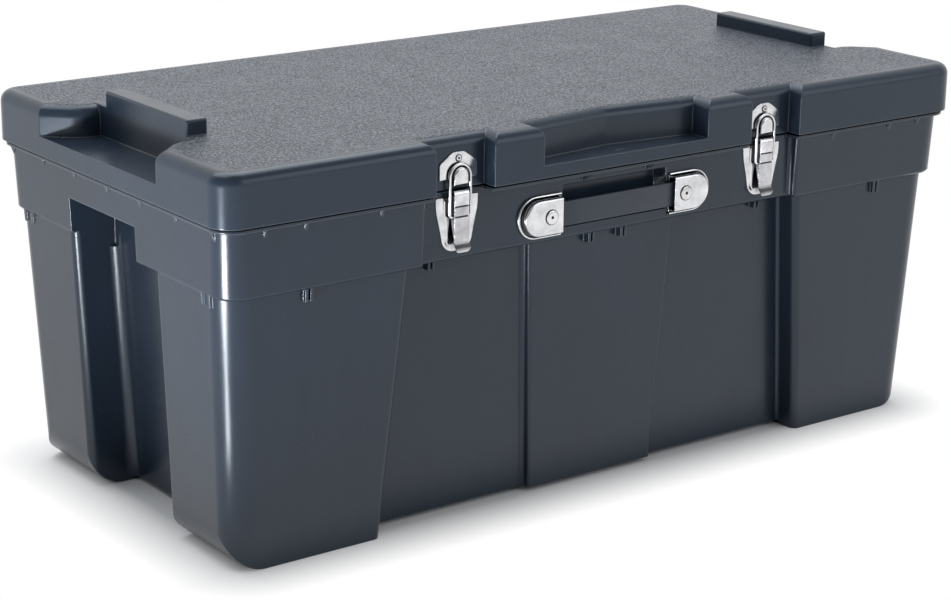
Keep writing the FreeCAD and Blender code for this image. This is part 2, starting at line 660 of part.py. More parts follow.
lower_outside = take(
    "lower_outside",
    lower_form("lower_shape", "0", "0", "band_low", outside=True),
    [
        toe_cutter("left_toe", -1, "0"),
        toe_cutter("right_toe", 1, "0"),
        box("floor_rise_long", both_ways("leg_inner_foot"), both_ways(BEYOND), ("-overcut", "foot_rise")),
        box("floor_rise_cross", both_ways(BEYOND), both_ways("recess_half"), ("-overcut", "foot_rise")),
    ],
)
middle_foot = box(
    "middle_foot",
    both_ways("middle_foot_half"),
    both_ways("middle_foot_half"),
    ("0", "foot_rise + overlap"),
)
lower_inside = take(
    "lower_inside",
    lower_form("lower_core", "tub_wall", "foot_rise + tub_floor", "band_low + tub_wall", outside=False),
    [toe_cutter("left_toe_core", -1, "tub_wall"), toe_cutter("right_toe_core", 1, "tub_wall")],
)

# The band round the top of the tub, sunk in the middle of the front


def band_form(name, inset, low, high, outside):
    body = new_body(name)
    foot = [both_ways(f"band_{axis}_low - {inset}") for axis in ("x", "y")]
    head = [both_ways(f"band_{axis}_high - {inset}") for axis in ("x", "y")]
    wedge(body, name + "_block", (low, high), foot, head)
    sunk = (both_ways(f"block_x + {inset}"), (f"mid_y - {inset}", BEYOND))
    wedge(body, name + "_middle", (low, high), sunk, sunk, cut=True)
    wall = number(inset)
    x_end = number("(band_x_low + band_x_high) / 2") - wall
    y_front = number("(band_y_low + band_y_high) / 2") - wall
    x_block, y_middle = number("block_x") + wall, number("mid_y") - wall
    round_edges(body, name + "_corners", f"band_corner - {inset}", lambda e: stands_at(e, x_end, y_front))
    if not outside:
        return body
    round_edges(
        body,
        name + "_blocks",
        "block_edge",
        lambda e: stands_at(e, x_block, y_front) or stands_at(e, x_block, y_middle),
    )
    return body


band = band_form("band_shape", "0", "band_low", "rim_low", outside=True)
bevel_edges(band, "band_lower_edge", "band_edge", lambda e: lies_at(e, "z", number("band_low")))
band_inside = band_form("band_core", "tub_wall", "band_low + tub_wall", "rim_low - overlap", outside=False)

# The rim flange, the tongue that stands inside the lid, and the mouth through both


def ring_form(name, x, y, low, high, corner):
    body = new_body(name)
    plan = new_sketch(body, name + "_plan", "XY_Plane", low)
    rectangle(plan, minus(x), x, minus(y), y)
    pad(body, name + "_pad", plan, f"({high}) - ({low})")
    round_edges(body, name + "_corners", corner, lambda e: runs_along(e, "z"))
    return body


flange = ring_form("flange_shape", "rim_x", "rim_y", "rim_low", "rim_high", "rim_corner")
rim_notches = []
for side, sign in SIDES:
    ends_x = sorted((f"{sign} * notch_inner", f"{sign} * notch_outer"), key=number)
    front_y = (minus(BEYOND), minus("mid_y"))
    ends_z = ("rim_low - overcut", "rim_high + overcut")
    rim_notches.append(box(f"rim_notch_{side}", ends_x, front_y, ends_z))
rim = take("rim", flange, rim_notches)
tongue = ring_form("tongue_shape", "tongue_x", "tongue_y", "rim_low", "tongue_high", "tongue_corner")
mouth = ring_form(
    "mouth_core",
    "tongue_x - tongue_wall",
    "tongue_y - tongue_wall",
    "rim_low - 2 * overlap",
    "tongue_high + overcut",
    "tongue_corner - tongue_wall",
)

# Small ribs under the rim, and pairs of stop ribs under the band's lower edge


def rib(name, face, along, reach, low, high, thickness, foot="0"):
    """A rib on a face of the trunk (front, back or an end); foot is its reach at its lower end."""
    item = doc.addObject("Part::Wedge", name)
    item.Xmin = item.X2min = item.Ymin = item.Zmin = item.Z2min = 0
    bind(item, Xmax=thickness, X2max=thickness, Ymax=f"({high}) - ({low})")
    bind(item, Zmax=f"rib_root + {foot}", Z2max=f"({reach[1]}) - ({reach[0]}) + rib_root")
    stand_up = Rotation(Vector(1, 0, 0), 90)
    turns = {"front": 0, "left": -90, "back": 180, "right": 90}
    turned = Rotation(Vector(0, 0, 1), turns[face]) * stand_up
    item.Placement = Placement(Vector(), turned)
    wall = f"({reach[0]}) - rib_root"
    half = f"({thickness}) / 2"
    spots = {
        "front": (f"({along}) - {half}", minus(wall)),
        "back": (f"({along}) + {half}", wall),
        "left": (minus(wall), f"({along}) + {half}"),
        "right": (wall, f"({along}) - {half}"),
    }
    x, y = spots[face]
    bind(item, Placement__Base__x=x, Placement__Base__y=y, Placement__Base__z=low)
    return item


ribs = []


def rim_rib(face, along, wall, edge):
    name = f"gusset_{face}_{len(ribs)}"
    levels = ("rim_low - gusset_tall", "rim_low + overlap")
    ribs.append(rib(name, face, along, (wall, f"{edge} - overlap"), *levels, "gusset_wide"))


def stop_ribs(face, along, wall, deep, gap="clip_gap", tall="clip_tall"):
    """A pair of ribs side by side on a wall under the band."""
    for shift in (f"(clip_wide + {gap}) / 2", f"-(clip_wide + {gap}) / 2"):
        name = f"clip_{face}_{len(ribs)}"
        levels = (f"band_low - {tall}", "band_low + 2 * overlap")
        reach = (f"{wall} - overlap", f"{wall} + {deep}")
        ribs.append(rib(name, face, f"{along} + {shift}", reach, *levels, "clip_wide", foot=deep))


for side, sign in SIDES:
    for face in ("front", "back"):
        for spot in ("gusset_first", "gusset_second", "gusset_third"):
            rim_rib(face, f"{sign} * (lid_x - {spot})", "band_y_high - overlap", "rim_y")
        stop_ribs(face, f"{sign} * (lid_x - clip_leg)", "leg_y_waist", "clip_leg_deep")
    rim_rib("front", f"{sign} * gusset_mid", "mid_y", "rim_y")
    for step in range(-3, 4):
        rim_rib(side, f"{step} * gusset_pitch", "band_x_high - overlap", "rim_x")
    for along in ("clip_end - lid_y", "lid_y - clip_end"):
        stop_ribs(side, along, "leg_x_waist", "clip_end_deep", "clip_end_gap", "clip_end_tall")
    stop_ribs("front", f"{sign} * (latch_x + clip_panel)", "panel_y_waist", "clip_panel_deep")
    stop_ribs("front", f"{sign} * clip_centre", "centre_y_waist", "clip_panel_deep")

# Hinges at the back: knuckles on the tub and the lid, on steel pins

HINGES = (("left", minus("hinge_x")), ("centre", "0"), ("right", "hinge_x"))
TUB_KNUCKLE = "lid_knuckle_long / 2 + knuckle_gap"
PIN_LONG = f"2 * ({TUB_KNUCKLE} + knuckle_long)"


def knuckle_arm(name, x, length, corners):
    """The web that carries a knuckle, padded along the hinge axis."""
    body = new_body(name)
    side = new_sketch(body, name + "_side", "YZ_Plane", x)
    outline(side, corners)
    pad(body, name + "_pad", side, length)
    return body


tub_knuckles = []
lid_knuckles = []
hinge_bores = []
for label, x in HINGES:
    for end, start in (("a", f"{x} - ({TUB_KNUCKLE}) - knuckle_long"), ("b", f"{x} + {TUB_KNUCKLE}")):
        name = f"tub_knuckle_{label}_{end}"
        tub_knuckles.append(rod(name, "x", "barrel_radius", "knuckle_long", start, "hinge_y", "hinge_z"))
        corners = [
            ("band_y_low - 2 * overlap", "hinge_z - hinge_arm"),
            ("hinge_y + barrel_radius * 0.7", "hinge_z - barrel_radius * 0.7"),
            ("hinge_y", "hinge_z - overlap"),
            ("band_y_low - 2 * overlap", "rim_high - overlap"),
        ]
        tub_knuckles.append(knuckle_arm(name + "_arm", start, "knuckle_long", corners))
    name = f"lid_knuckle_{label}"
    start = f"{x} - lid_knuckle_long / 2"
    lid_knuckles.append(rod(name, "x", "barrel_radius", "lid_knuckle_long", start, "hinge_y", "hinge_z"))
    corners = [
        ("lid_y - 2 * overlap", "lid_low"),
        ("hinge_y", "lid_low"),
        ("hinge_y + barrel_radius * 0.7", "hinge_z + barrel_radius * 0.7"),
        ("lid_y - 2 * overlap", "hinge_z + barrel_radius + lid_arm"),
    ]
    lid_knuckles.append(knuckle_arm(name + "_arm", start, "lid_knuckle_long", corners))
    far = f"{x} - ({PIN_LONG}) / 2 - overcut"
    bore_radius, bore_long = "hinge_pin_radius + pin_room", f"{PIN_LONG} + 2 * overcut"
    hinge_bores.append(rod(f"hinge_bore_{label}", "x", bore_radius, bore_long, far, "hinge_y", "hinge_z"))
    start = f"{x} - ({PIN_LONG}) / 2"
    pin = rod(f"hinge_pin_{label}", "x", "hinge_pin_radius", PIN_LONG, start, "hinge_y", "hinge_z")
    pin.Label = f"hinge_pin_{label}"

# The tub, hollowed: finger pocket behind the strap, hand holds in the ends, holes for rivets and screws


def finger_form(name, inset):
    body = new_body(name)
    x, low, high = f"finger_half + {inset}", f"finger_low - {inset}", f"finger_high + {inset}"
    front = (both_ways(x), (low, high))
    back = (both_ways(f"{x} - finger_slope"), (f"{low} + finger_slope", f"{high} - finger_slope"))
    levels = ("-mid_y - overlap", f"-mid_y + finger_deep + {inset}")
    wedge(body, name + "_block", levels, front, back, role="XY_Plane")
    return body


def hold_box(name, sign, inset):
    back = f"recess_x_waist - {inset}"
    x = (back, BEYOND) if sign > 0 else (minus(BEYOND), minus(back))
    y = (f"-hold_front - {inset}", f"hold_back + {inset}")
    return box(name, x, y, ("band_low - 2 * overcut", f"hold_high + {inset}"))


core = take(
    "tub_core",
    join("tub_core_blocks", [lower_inside, band_inside, mouth]),
    [
        finger_form("finger_wall", "tub_wall"),
        hold_box("hold_wall_left", -1, "tub_wall"),
        hold_box("hold_wall_right", 1, "tub_wall"),
    ],
)


def wall_hole(name, radius, x, wall_y, z):
    """A hole for a rivet or a screw through a front wall."""
    return rod(name, "y", f"{radius} + pin_room", "2 * overcut", x, f"-{wall_y} - overcut", z)


holes = []
for side, sign in SIDES:
    x = f"{sign} * latch_x"
    for where in ("low", "high"):
        z = f"base_rivet_{where}"
        holes.append(wall_hole(f"base_hole_{side}_{where}", "rivet_radius", x, "mid_y", z))
    x = f"{sign} * handle_screw_x"
    holes.append(wall_hole(f"handle_hole_{side}", "screw_radius", x, "mid_y", "handle_z"))
hand_holds = [hold_box("hold_left", -1, "0"), hold_box("hold_right", 1, "0")]
tub = take(
    "tub",
    join("tub_solid", [lower_outside, middle_foot, band, rim, tongue] + ribs + tub_knuckles),
    [core, finger_form("finger_pocket", "0")] + hand_holds + holes + hinge_bores,
)
tub.Label = "tub"

# The lid: a crowned tray with latch notches, a front recess, end pockets and two raised bars

lid_block = new_body("lid_block")
plan = new_sketch(lid_block, "lid_plan", "XY_Plane", "lid_low")
rectangle(plan, "-lid_x", "lid_x", "-lid_y", "lid_y")
pad(lid_block, "lid_pad", plan, "lid_high - lid_low")
round_edges(lid_block, "lid_corners", "lid_corner", lambda e: runs_along(e, "z"))
notch_plan = new_sketch(lid_block, "latch_notch_plan", "XY_Plane", "lid_high")
rectangle(notch_plan, "notch_inner", "notch_outer", "-lid_y - overcut", "-notch_y")
notch = pocket(lid_block, "latch_notch", notch_plan)
mirrored(lid_block, "latch_notches", [notch], "YZ_Plane")


def ledge_outline(inset):
    """The front recess from above, its back wall bent to a shallow V."""
    half, side_y = f"ledge_half + {inset}", f"-ledge_side_y + {inset}"
    return [
        (minus(half), "-lid_y - overcut"),
        (half, "-lid_y - overcut"),
        (half, side_y),
        ("0", f"-ledge_mid_y + {inset}"),
        (minus(half), side_y),
    ]


ledge_plan = new_sketch(lid_block, "ledge_plan", "XY_Plane", "lid_high")
outline(ledge_plan, ledge_outline("0"))
pocket(lid_block, "ledge", ledge_plan, "lid_high - ledge_z")


def pocket_outline(inset):
    """The end pocket from above: straight beside the bar, then opening out towards the end face."""
    front, back = f"-pocket_front - {inset}", f"pocket_back + {inset}"
    mouth_x = "lid_x + 2 * overcut"
    flare = f"pocket_flare * ({mouth_x} - pocket_turn_x) / (lid_x - pocket_turn_x)"
    return [
        (f"pocket_x - {inset}", front),
        ("pocket_turn_x", front),
        (mouth_x, f"{front} - {flare}"),
        (mouth_x, f"{back} + {flare}"),
        ("pocket_turn_x", back),
        (f"pocket_x - {inset}", back),
    ]


def other_end(name, source):
    item = doc.addObject("Part::Mirroring", name)
    item.Source = source
    item.Normal = (1, 0, 0)
    doc.recompute([item])
    return item


pocket_plan = new_sketch(lid_block, "end_pocket_plan", "XY_Plane", "lid_high")
outline(pocket_plan, pocket_outline("0"))
end_pocket = pocket(lid_block, "end_pocket", pocket_plan, "lid_high - pocket_z")
mirrored(lid_block, "end_pockets", [end_pocket], "YZ_Plane")
lid_top, pocket_wall_x, turn_x = number("lid_high"), number("pocket_x"), number("pocket_turn_x")
round_edges(
    lid_block,
    "pocket_sweeps",
    "pocket_sweep",
    lambda e: runs_along(e, "z") and abs(abs(e.BoundBox.Center.x) - turn_x) < 1,
)


def beside_bar(edge):
    return lies_at(edge, "x", pocket_wall_x) or lies_at(edge, "x", -pocket_wall_x)


round_edges(
    lid_block,
    "lid_top_edges",
    "lid_crown",
    lambda e: lies_at(e, "z", lid_top) and not beside_bar(e),
)
slot_plan = new_sketch(lid_block, "ledge_slot_plan", "XY_Plane", "ledge_z")
rectangle(slot_plan, *both_ways("slot_long / 2"), "-slot_y - slot_wide / 2", "-slot_y + slot_wide / 2")
pocket(lid_block, "ledge_slot", slot_plan, "slot_deep")

bar = new_body("bar_shape")
plan = new_sketch(bar, "bar_plan", "XY_Plane", "lid_high - lid_wall")
rectangle(plan, "pocket_x - bar_wide", "pocket_x", "-bar_front", "bar_back")
pad(bar, "bar_pad", plan, "bar_tall + lid_wall")
bevel_edges(bar, "bar_edges", "bar_edge", lambda e: not lies_at(e, "z", number("lid_high - lid_wall")))

lid_core = new_body("lid_core")
plan = new_sketch(lid_core, "lid_core_plan", "XY_Plane", "lid_low - overcut")
rectangle(plan, "-lid_x + lid_wall", "lid_x - lid_wall", "-lid_y + lid_wall", "lid_y - lid_wall")
pad(lid_core, "lid_core_pad", plan, "lid_high - lid_low + overcut - lid_wall")
round_edges(lid_core, "lid_core_corners", "lid_corner - lid_wall", lambda e: runs_along(e, "z"))
core_top = number("lid_high - lid_wall")
bevel_edges(lid_core, "lid_core_top", "lid_inner_edge", lambda e: lies_at(e, "z", core_top))
ledge_wall = new_body("ledge_wall")
plan = new_sketch(ledge_wall, "ledge_wall_plan", "XY_Plane", "ledge_z - lid_wall")
outline(plan, ledge_outline("inner_wall"))
pad(ledge_wall, "ledge_wall_pad", plan, "lid_high - ledge_z")
pocket_wall = new_body("pocket_wall")
plan = new_sketch(pocket_wall, "pocket_wall_plan", "XY_Plane", "pocket_z - lid_wall")
outline(plan, pocket_outline("inner_wall"))
pad(pocket_wall, "pocket_wall_pad", plan, "lid_high - pocket_z")
keep = [ledge_wall, pocket_wall, other_end("pocket_wall_left", pocket_wall)]
for side, sign in SIDES:
    near, far = f"{sign} * (notch_inner - inner_wall)", f"{sign} * (notch_outer + inner_wall)"
    ends_x, ends_y = sorted((near, far), key=number), (minus(BEYOND), "-notch_y + lid_wall")
    keep.append(box(f"notch_wall_{side}", ends_x, ends_y, ("lid_low - 2 * overcut", "lid_high")))
lid_hollow = take("lid_hollow", lid_core, keep)
lid_holes = []
for side, sign in SIDES:
    x = f"{sign} * latch_x"
    lid_holes.append(wall_hole(f"keeper_hole_{side}", "rivet_radius", x, "notch_y", "keeper_rivet_z"))
for label, x in HINGES:
    far = f"{x} - ({PIN_LONG}) / 2 - overcut"
    bore_radius, bore_long = "hinge_pin_radius + pin_room", f"{PIN_LONG} + 2 * overcut"
    lid_holes.append(rod(f"lid_bore_{label}", "x", bore_radius, bore_long, far, "hinge_y", "hinge_z"))
lid = take(
    "lid",
    join("lid_solid", [lid_block, bar, other_end("bar_left", bar)] + lid_knuckles),
    [lid_hollow] + lid_holes,
)
lid.Label = "lid"

# Rivets and screws: a bevelled head in front of its seat and a shank behind it


def headed(name, head, rise, radius, length, x, y, z):
    body = new_body(name)
    face = new_sketch(body, name + "_head_section", "XZ_Plane")
    many_sided(face, "0", "0", head, 12)
    pad(body, name + "_head", face, rise)
    front = number(minus(rise))
    bevel_edges(body, name + "_head_edge", f"{rise} * 0.8", lambda e: lies_at(e, "y", front))
    shank = new_sketch(body, name + "_shank_section", "XZ_Plane")
    many_sided(shank, "0", "0", radius, 12)
    pad(body, name + "_shank", shank, length, reverse=True)
    return place(body, x, y, z)


def rivet(name, grip, x, y, z):
    """A rivet whose tail comes through behind the wall."""
    return headed(name, "rivet_head", "rivet_rise", "rivet_radius", f"{grip} + rivet_rise", x, y, z)


# Draw latches: base with ears, lever on its pin, bail on the lever, keeper on the lid

for side, sign in SIDES:
    x = f"{sign} * latch_x"
    base = new_body(f"latch_base_{side}")
    shield = new_sketch(base, f"base_shield_{side}", "XZ_Plane", "mid_y")
    half_outline = [
        ("base_toe_half", "base_low"),
        ("base_waist_half", "base_waist_z"),
        ("base_half", "base_shoulder_z"),
        ("base_half", "base_high"),
    ]
    outline(shield, half_outline + [(minus(u), z) for u, z in reversed(half_outline)])
    pad(base, f"base_plate_{side}", shield, "base_gauge")
    toe, waist = number("base_low"), number("base_waist_z")
    bevel_edges(
        base,
        f"base_toe_{side}",
        "base_toe_edge",
        lambda e: runs_along(e, "y") and (lies_at(e, "z", toe) or lies_at(e, "z", waist)),
    )
    step = new_sketch(base, f"base_step_plan_{side}", "XZ_Plane", "mid_y + base_gauge")
    rectangle(step, "-step_half", "step_half", "base_low + step_inset", "base_high - step_top")
    pad(base, f"base_step_{side}", step, "step_rise")
    front = number("-mid_y - base_gauge - step_rise")
    bevel_edges(base, f"base_step_edge_{side}", "step_edge", lambda e: lies_at(e, "y", front))
    ear = new_sketch(base, f"ear_side_{side}", "YZ_Plane", "ear_inner")
    ear_outline = [
        ("-mid_y - base_gauge", "ear_low"),
        ("-lever_pin_y - ear_nose * 0.38", "lever_pin_z - ear_nose * 0.92"),
        ("-lever_pin_y - ear_nose * 0.92", "lever_pin_z - ear_nose * 0.38"),
        ("-lever_pin_y - ear_nose * 0.92", "lever_pin_z + ear_nose * 0.38"),
        ("-lever_pin_y - ear_nose * 0.38", "lever_pin_z + ear_nose * 0.92"),
        ("-lever_pin_y + ear_nose * 0.38", "lever_pin_z + ear_nose * 0.92"),
        ("-lever_pin_y + ear_nose * 0.92", "lever_pin_z + ear_nose * 0.38"),
        ("-mid_y - base_gauge", "base_high"),
    ]
    outline(ear, ear_outline)
    ear_pad = pad(base, f"ear_{side}", ear, "ear_gauge")
    mirrored(base, f"ears_{side}", [ear_pad], "YZ_Plane")
    eye = new_sketch(base, f"ear_eye_{side}", "YZ_Plane")
    circle(eye, "-lever_pin_y", "lever_pin_z", "lever_pin_radius + pin_room")
    pocket(base, f"ear_eyes_{side}", eye, side="Symmetric")
    for where in ("low", "high"):
        seat = "mid_y + base_gauge + step_rise"
        spot = new_sketch(base, f"base_rivet_eye_{side}_{where}", "XZ_Plane", seat)
        many_sided(spot, "0", f"base_rivet_{where}", "rivet_radius + pin_room", 12)
        pocket(base, f"base_rivet_hole_{side}_{where}", spot)
    place(base, x)

    lever = new_body(f"latch_lever_{side}")
    profile = new_sketch(lever, f"lever_side_{side}", "YZ_Plane")
    lever_outline = [
        ("-lever_front", "lever_pin_z + lever_root * 0.3"),
        ("-lever_pin_y - lever_root", "lever_pin_z + lever_root"),
        ("-lever_pin_y + lever_root * 0.4", "lever_pin_z + lever_root"),
        ("-lever_back", "lever_pin_z + lever_root * 0.4"),
        ("-lever_back", "lever_flange_low"),
        ("-lever_front + lever_gauge", "lever_taper_low"),
        ("-lever_front + lever_gauge", "lever_low + lever_curl"),
        ("-lever_front - lever_curl + lever_gauge", "lever_low"),
        ("-lever_front - lever_curl", "lever_low + lever_lip"),
        ("-lever_front", "lever_low + lever_curl + 2 * lever_lip"),
    ]
    outline(profile, lever_outline)
    pad(lever, f"lever_block_{side}", profile, "2 * (lever_inner + lever_gauge)", side="Symmetric")
    channel = new_sketch(lever, f"lever_channel_plan_{side}", "YZ_Plane")
    channel_top = "lever_pin_z + lever_root + overcut"
    rectangle(channel, "-lever_front + lever_gauge", "-mid_y", "lever_low", channel_top)
    pocket(lever, f"lever_channel_{side}", channel, "2 * lever_inner", side="Symmetric")
    for where, y, z, radius in (
        ("pin", "-lever_pin_y", "lever_pin_z", "lever_pin_radius + pin_room"),
        ("bail", "-bail_y", "bail_low", "wire_radius * 1.09 + pin_room"),
    ):
        eye = new_sketch(lever, f"lever_{where}_eye_{side}", "YZ_Plane")
        circle(eye, y, z, radius)
        pocket(lever, f"lever_{where}_hole_{side}", eye, side="Symmetric")
    place(lever, x)

    pin_long = "2 * (lever_inner + lever_gauge)"
    start = f"{x} - ({pin_long}) / 2"
    pin = rod(f"lever_pin_{side}", "x", "lever_pin_radius", pin_long, start, "-lever_pin_y", "lever_pin_z")
    pin.Label = f"lever_pin_{side}"

    bail = new_body(f"latch_bail_{side}")
    loop = new_sketch(bail, f"bail_loop_{side}", "XZ_Plane", "bail_y")
    arch_z, bend_z = "(bail_high - wire_radius - bail_half)", "(bail_low + wire_bend)"
    bend_x, foot_x = "(bail_half - wire_bend)", "lever_inner - foot_reach"
    outside, inside = [], []
    for angle in (90, 67.5, 45, 22.5, 0):
        u, v = math.cos(math.radians(angle)), math.sin(math.radians(angle))
        for edge, reach in ((outside, "bail_half + wire_radius"), (inside, "bail_half - wire_radius")):
            edge.append((f"({reach}) * {u:.5f}", f"{arch_z} + ({reach}) * {v:.5f}"))
    for angle in (0, -30, -60, -90):
        u, v = math.cos(math.radians(angle)), math.sin(math.radians(angle))
        for edge, reach in ((outside, "wire_bend + wire_radius"), (inside, "wire_bend - wire_radius")):
            edge.append((f"{bend_x} + ({reach}) * {u:.5f}", f"{bend_z} + ({reach}) * {v:.5f}"))
    outside.append((foot_x, "bail_low - wire_radius"))
    inside.append((foot_x, "bail_low + wire_radius"))
    half_loop = outside + inside[::-1]
    outline(loop, half_loop + [(minus(u), z) for u, z in half_loop[-2:0:-1]])
    pad(bail, f"bail_wire_{side}", loop, "2 * wire_radius", side="Symmetric")
    faces = number("-bail_y - wire_radius"), number("-bail_y + wire_radius")
    bevel_edges(
        bail,
        f"bail_edges_{side}",
        "wire_radius * 0.58",
        lambda e: lies_at(e, "y", faces[0]) or lies_at(e, "y", faces[1]),
    )
    place(bail, x)

    keeper = new_body(f"keeper_{side}")
    face = new_sketch(keeper, f"keeper_face_{side}", "XZ_Plane", "notch_y")
    half_outline = [
        ("keeper_half", "keeper_low"),
        ("keeper_half", "keeper_shoulder_z"),
        ("keeper_top_half", "keeper_high"),
    ]
    outline(face, half_outline + [(minus(u), z) for u, z in reversed(half_outline)])
    pad(keeper, f"keeper_plate_{side}", face, "keeper_gauge")
    hook = new_sketch(keeper, f"hook_side_{side}", "YZ_Plane")
    hook_top = "bail_high - 2 * wire_radius - hook_room"
    hook_back = "-notch_y - keeper_gauge"
    hook_outline = [
        (hook_back, f"{hook_top} - hook_tall"),
        (f"{hook_back} - hook_reach * 0.6", f"{hook_top} - hook_tall"),
        (f"{hook_back} - hook_reach", f"{hook_top} - hook_tall * 0.8"),
        (f"{hook_back} - hook_reach", hook_top),
        (hook_back, hook_top),
    ]
    outline(hook, hook_outline)
    pad(keeper, f"hook_{side}", hook, "2 * hook_half", side="Symmetric")
    crown, nose = number(hook_top), number(f"{hook_back} - hook_reach")
    bevel_edges(
        keeper,
        f"hook_crown_{side}",
        "hook_crown",
        lambda e: runs_along(e, "y") and lies_at(e, "z", crown),
    )
    bevel_edges(keeper, f"hook_nose_{side}", "hook_nose", lambda e: lies_at(e, "y", nose))
    spot = new_sketch(keeper, f"keeper_rivet_eye_{side}", "XZ_Plane", "notch_y + keeper_gauge")
    many_sided(spot, "0", "keeper_rivet_z", "rivet_radius + pin_room", 12)
    pocket(keeper, f"keeper_rivet_hole_{side}", spot)
    place(keeper, x)

    seat = "-mid_y - base_gauge - step_rise"
    grip = "base_gauge + step_rise + tub_wall"
    low = rivet(f"base_rivet_{side}_low", grip, x, seat, "base_rivet_low")
    high = rivet(f"base_rivet_{side}_high", grip, x, seat, "base_rivet_high")
    rivets = group(f"latch_rivets_{side}", [low, high])
    rivets.Label = f"latch_rivets_{side}"
    rivet(f"keeper_rivet_{side}", "keeper_gauge + lid_wall", x, "-notch_y - keeper_gauge", "keeper_rivet_z")

# Strap handle: two plates and caps, screwed through the band, hold a spring steel strap in its grip

for side, sign in SIDES:
    plate = new_body(f"handle_plate_{side}")
    face = new_sketch(plate, f"plate_face_{side}", "XZ_Plane")
    rounded_tab(face, "plate_inner", "plate_outer", "plate_half")
    pad(plate, f"plate_pad_{side}", face, "plate_gauge + plate_lip")
    pan = new_sketch(plate, f"plate_pan_{side}", "XZ_Plane", "plate_gauge + plate_lip")
    rounded_tab(pan, "plate_inner - overcut", "plate_outer - plate_gauge", "plate_half - plate_gauge")
    pocket(plate, f"plate_hollow_{side}", pan, "plate_lip")
    spot = new_sketch(plate, f"plate_eye_{side}", "XZ_Plane", "plate_gauge + plate_lip")
    circle(spot, "handle_screw_x", "0", "screw_radius + pin_room")
    pocket(plate, f"plate_hole_{side}", spot)

    cap = new_body(f"handle_cap_{side}")
    face = new_sketch(cap, f"cap_face_{side}", "XZ_Plane", "plate_gauge")
    rounded_tab(face, "cap_inner", "cap_outer", "cap_half")
    pad(cap, f"cap_pad_{side}", face, "cap_rise")
    front = number("-plate_gauge - cap_rise")
    open_end = number("cap_inner")
    bevel_edges(
        cap,
        f"cap_edge_{side}",
        "cap_dome",
        lambda e: lies_at(e, "y", front) and not lies_at(e, "x", open_end),
    )
    hollow = new_sketch(cap, f"cap_hollow_plan_{side}", "XZ_Plane", "plate_gauge")
    rounded_tab(hollow, "cap_inner - overcut", "cap_outer - cap_gauge", "cap_half - cap_gauge")
    pocket(cap, f"cap_hollow_{side}", hollow, "cap_rise - cap_gauge", reverse=True)
    spot = new_sketch(cap, f"cap_eye_{side}", "XZ_Plane", "plate_gauge + cap_rise")
    circle(spot, "handle_screw_x", "0", "screw_radius + pin_room")
    pocket(cap, f"cap_hole_{side}", spot)
    for piece in (plate, cap):
        place(piece, "0", "-mid_y", "handle_z", (0, 1, 0), 0 if sign == "1" else 180)

    x = f"{sign} * handle_screw_x"
    seat = "-mid_y - plate_gauge - cap_rise"
    through = "plate_gauge + cap_rise + tub_wall + screw_tail"
    name = f"handle_screw_{side}"
    screw = headed(name, "screw_head", "screw_rise", "screw_radius", through, x, seat, "handle_z")
    dimple = new_sketch(screw, name + "_dimple_section", "XZ_Plane", "screw_rise")
    many_sided(dimple, "0", "0", "screw_dimple", 8)
    pocket(screw, name + "_dimple", dimple, "screw_rise * 0.7")
    blank = doc.addObject("Part::Prism", f"nut_blank_{side}")
    blank.Polygon = 6
    bind(blank, Circumradius="nut_radius", Height="nut_tall")
    place(blank, x, "-mid_y + tub_wall", "handle_z", (1, 0, 0), -90)
    thread = wall_hole(f"nut_bore_{side}", "screw_radius", x, "mid_y", "handle_z")
    nut = take(f"handle_nut_{side}", blank, [thread])
    nut.Label = f"handle_nut_{side}"

strap = new_body("handle_strap")
face = new_sketch(strap, "strap_face", "XZ_Plane", "strap_y - strap_gauge / 2")
rectangle(face, "-strap_end", "strap_end", "handle_z - strap_half", "handle_z + strap_half")
pad(strap, "strap_pad", face, "strap_gauge")
round_edges(strap, "strap_ends", "strap_half * 0.8", lambda e: runs_along(e, "y"))
slot = new_sketch(strap, "strap_slot_plan", "XZ_Plane", "strap_y + strap_gauge / 2")
slot_across = ("handle_screw_x - slot_run", "handle_screw_x + slot_run")
rectangle(slot, *slot_across, "handle_z - slot_half", "handle_z + slot_half")
strap_slot = pocket(strap, "strap_slot", slot)
mirrored(strap, "strap_slots", [strap_slot], "YZ_Plane")

grip_body = new_body("handle_grip")
face = new_sketch(grip_body, "grip_section", "YZ_Plane", "-grip_end")
grip_deep = ("-strap_y - grip_gauge / 2", "-strap_y + grip_gauge / 2")
rectangle(face, *grip_deep, "handle_z - grip_half", "handle_z + grip_half")
pad(grip_body, "grip_pad", face, "2 * grip_end")
bevel_edges(grip_body, "grip_edges", "grip_edge", lambda e: runs_along(e, "x"))
tunnel = new_sketch(grip_body, "grip_tunnel_plan", "YZ_Plane", "grip_end")
strap_deep = ("-strap_y - strap_gauge / 2", "-strap_y + strap_gauge / 2")
rectangle(tunnel, *strap_deep, "handle_z - strap_half", "handle_z + strap_half")
pocket(grip_body, "grip_tunnel", tunnel)

# Each finished piece is checked and written under its own name

PIECES = ["tub", "lid", "handle_strap", "handle_grip"]
PIECES += [f"hinge_pin_{label}" for label, x in HINGES]
PAIRED = ("latch_base", "latch_rivets", "latch_lever", "lever_pin", "latch_bail", "keeper", "keeper_rivet")
PAIRED += ("handle_plate", "handle_cap", "handle_screw", "handle_nut")
PIECES += [f"{piece}_{side}" for piece in PAIRED for side, sign in SIDES]

doc.recompute()
for item in doc.Objects:
    if "Invalid" in item.State or "Error" in item.State:
        raise RuntimeError(f"{item.Label} failed: {item.State}")
os.makedirs("parts", exist_ok=True)
for label in PIECES:
    shape = doc.getObjectsByLabel(label)[0].Shape
    if shape.isNull() or not shape.isValid():
        raise RuntimeError(label + " has no valid shape")
    shape.exportStep(f"parts/{label}.step")
    print(f"{label}: {len(shape.Solids)} solid, {shape.Volume / 1000:.1f} cm3")
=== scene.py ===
import math

import bmesh
import bpy
from mathutils import Matrix, Vector


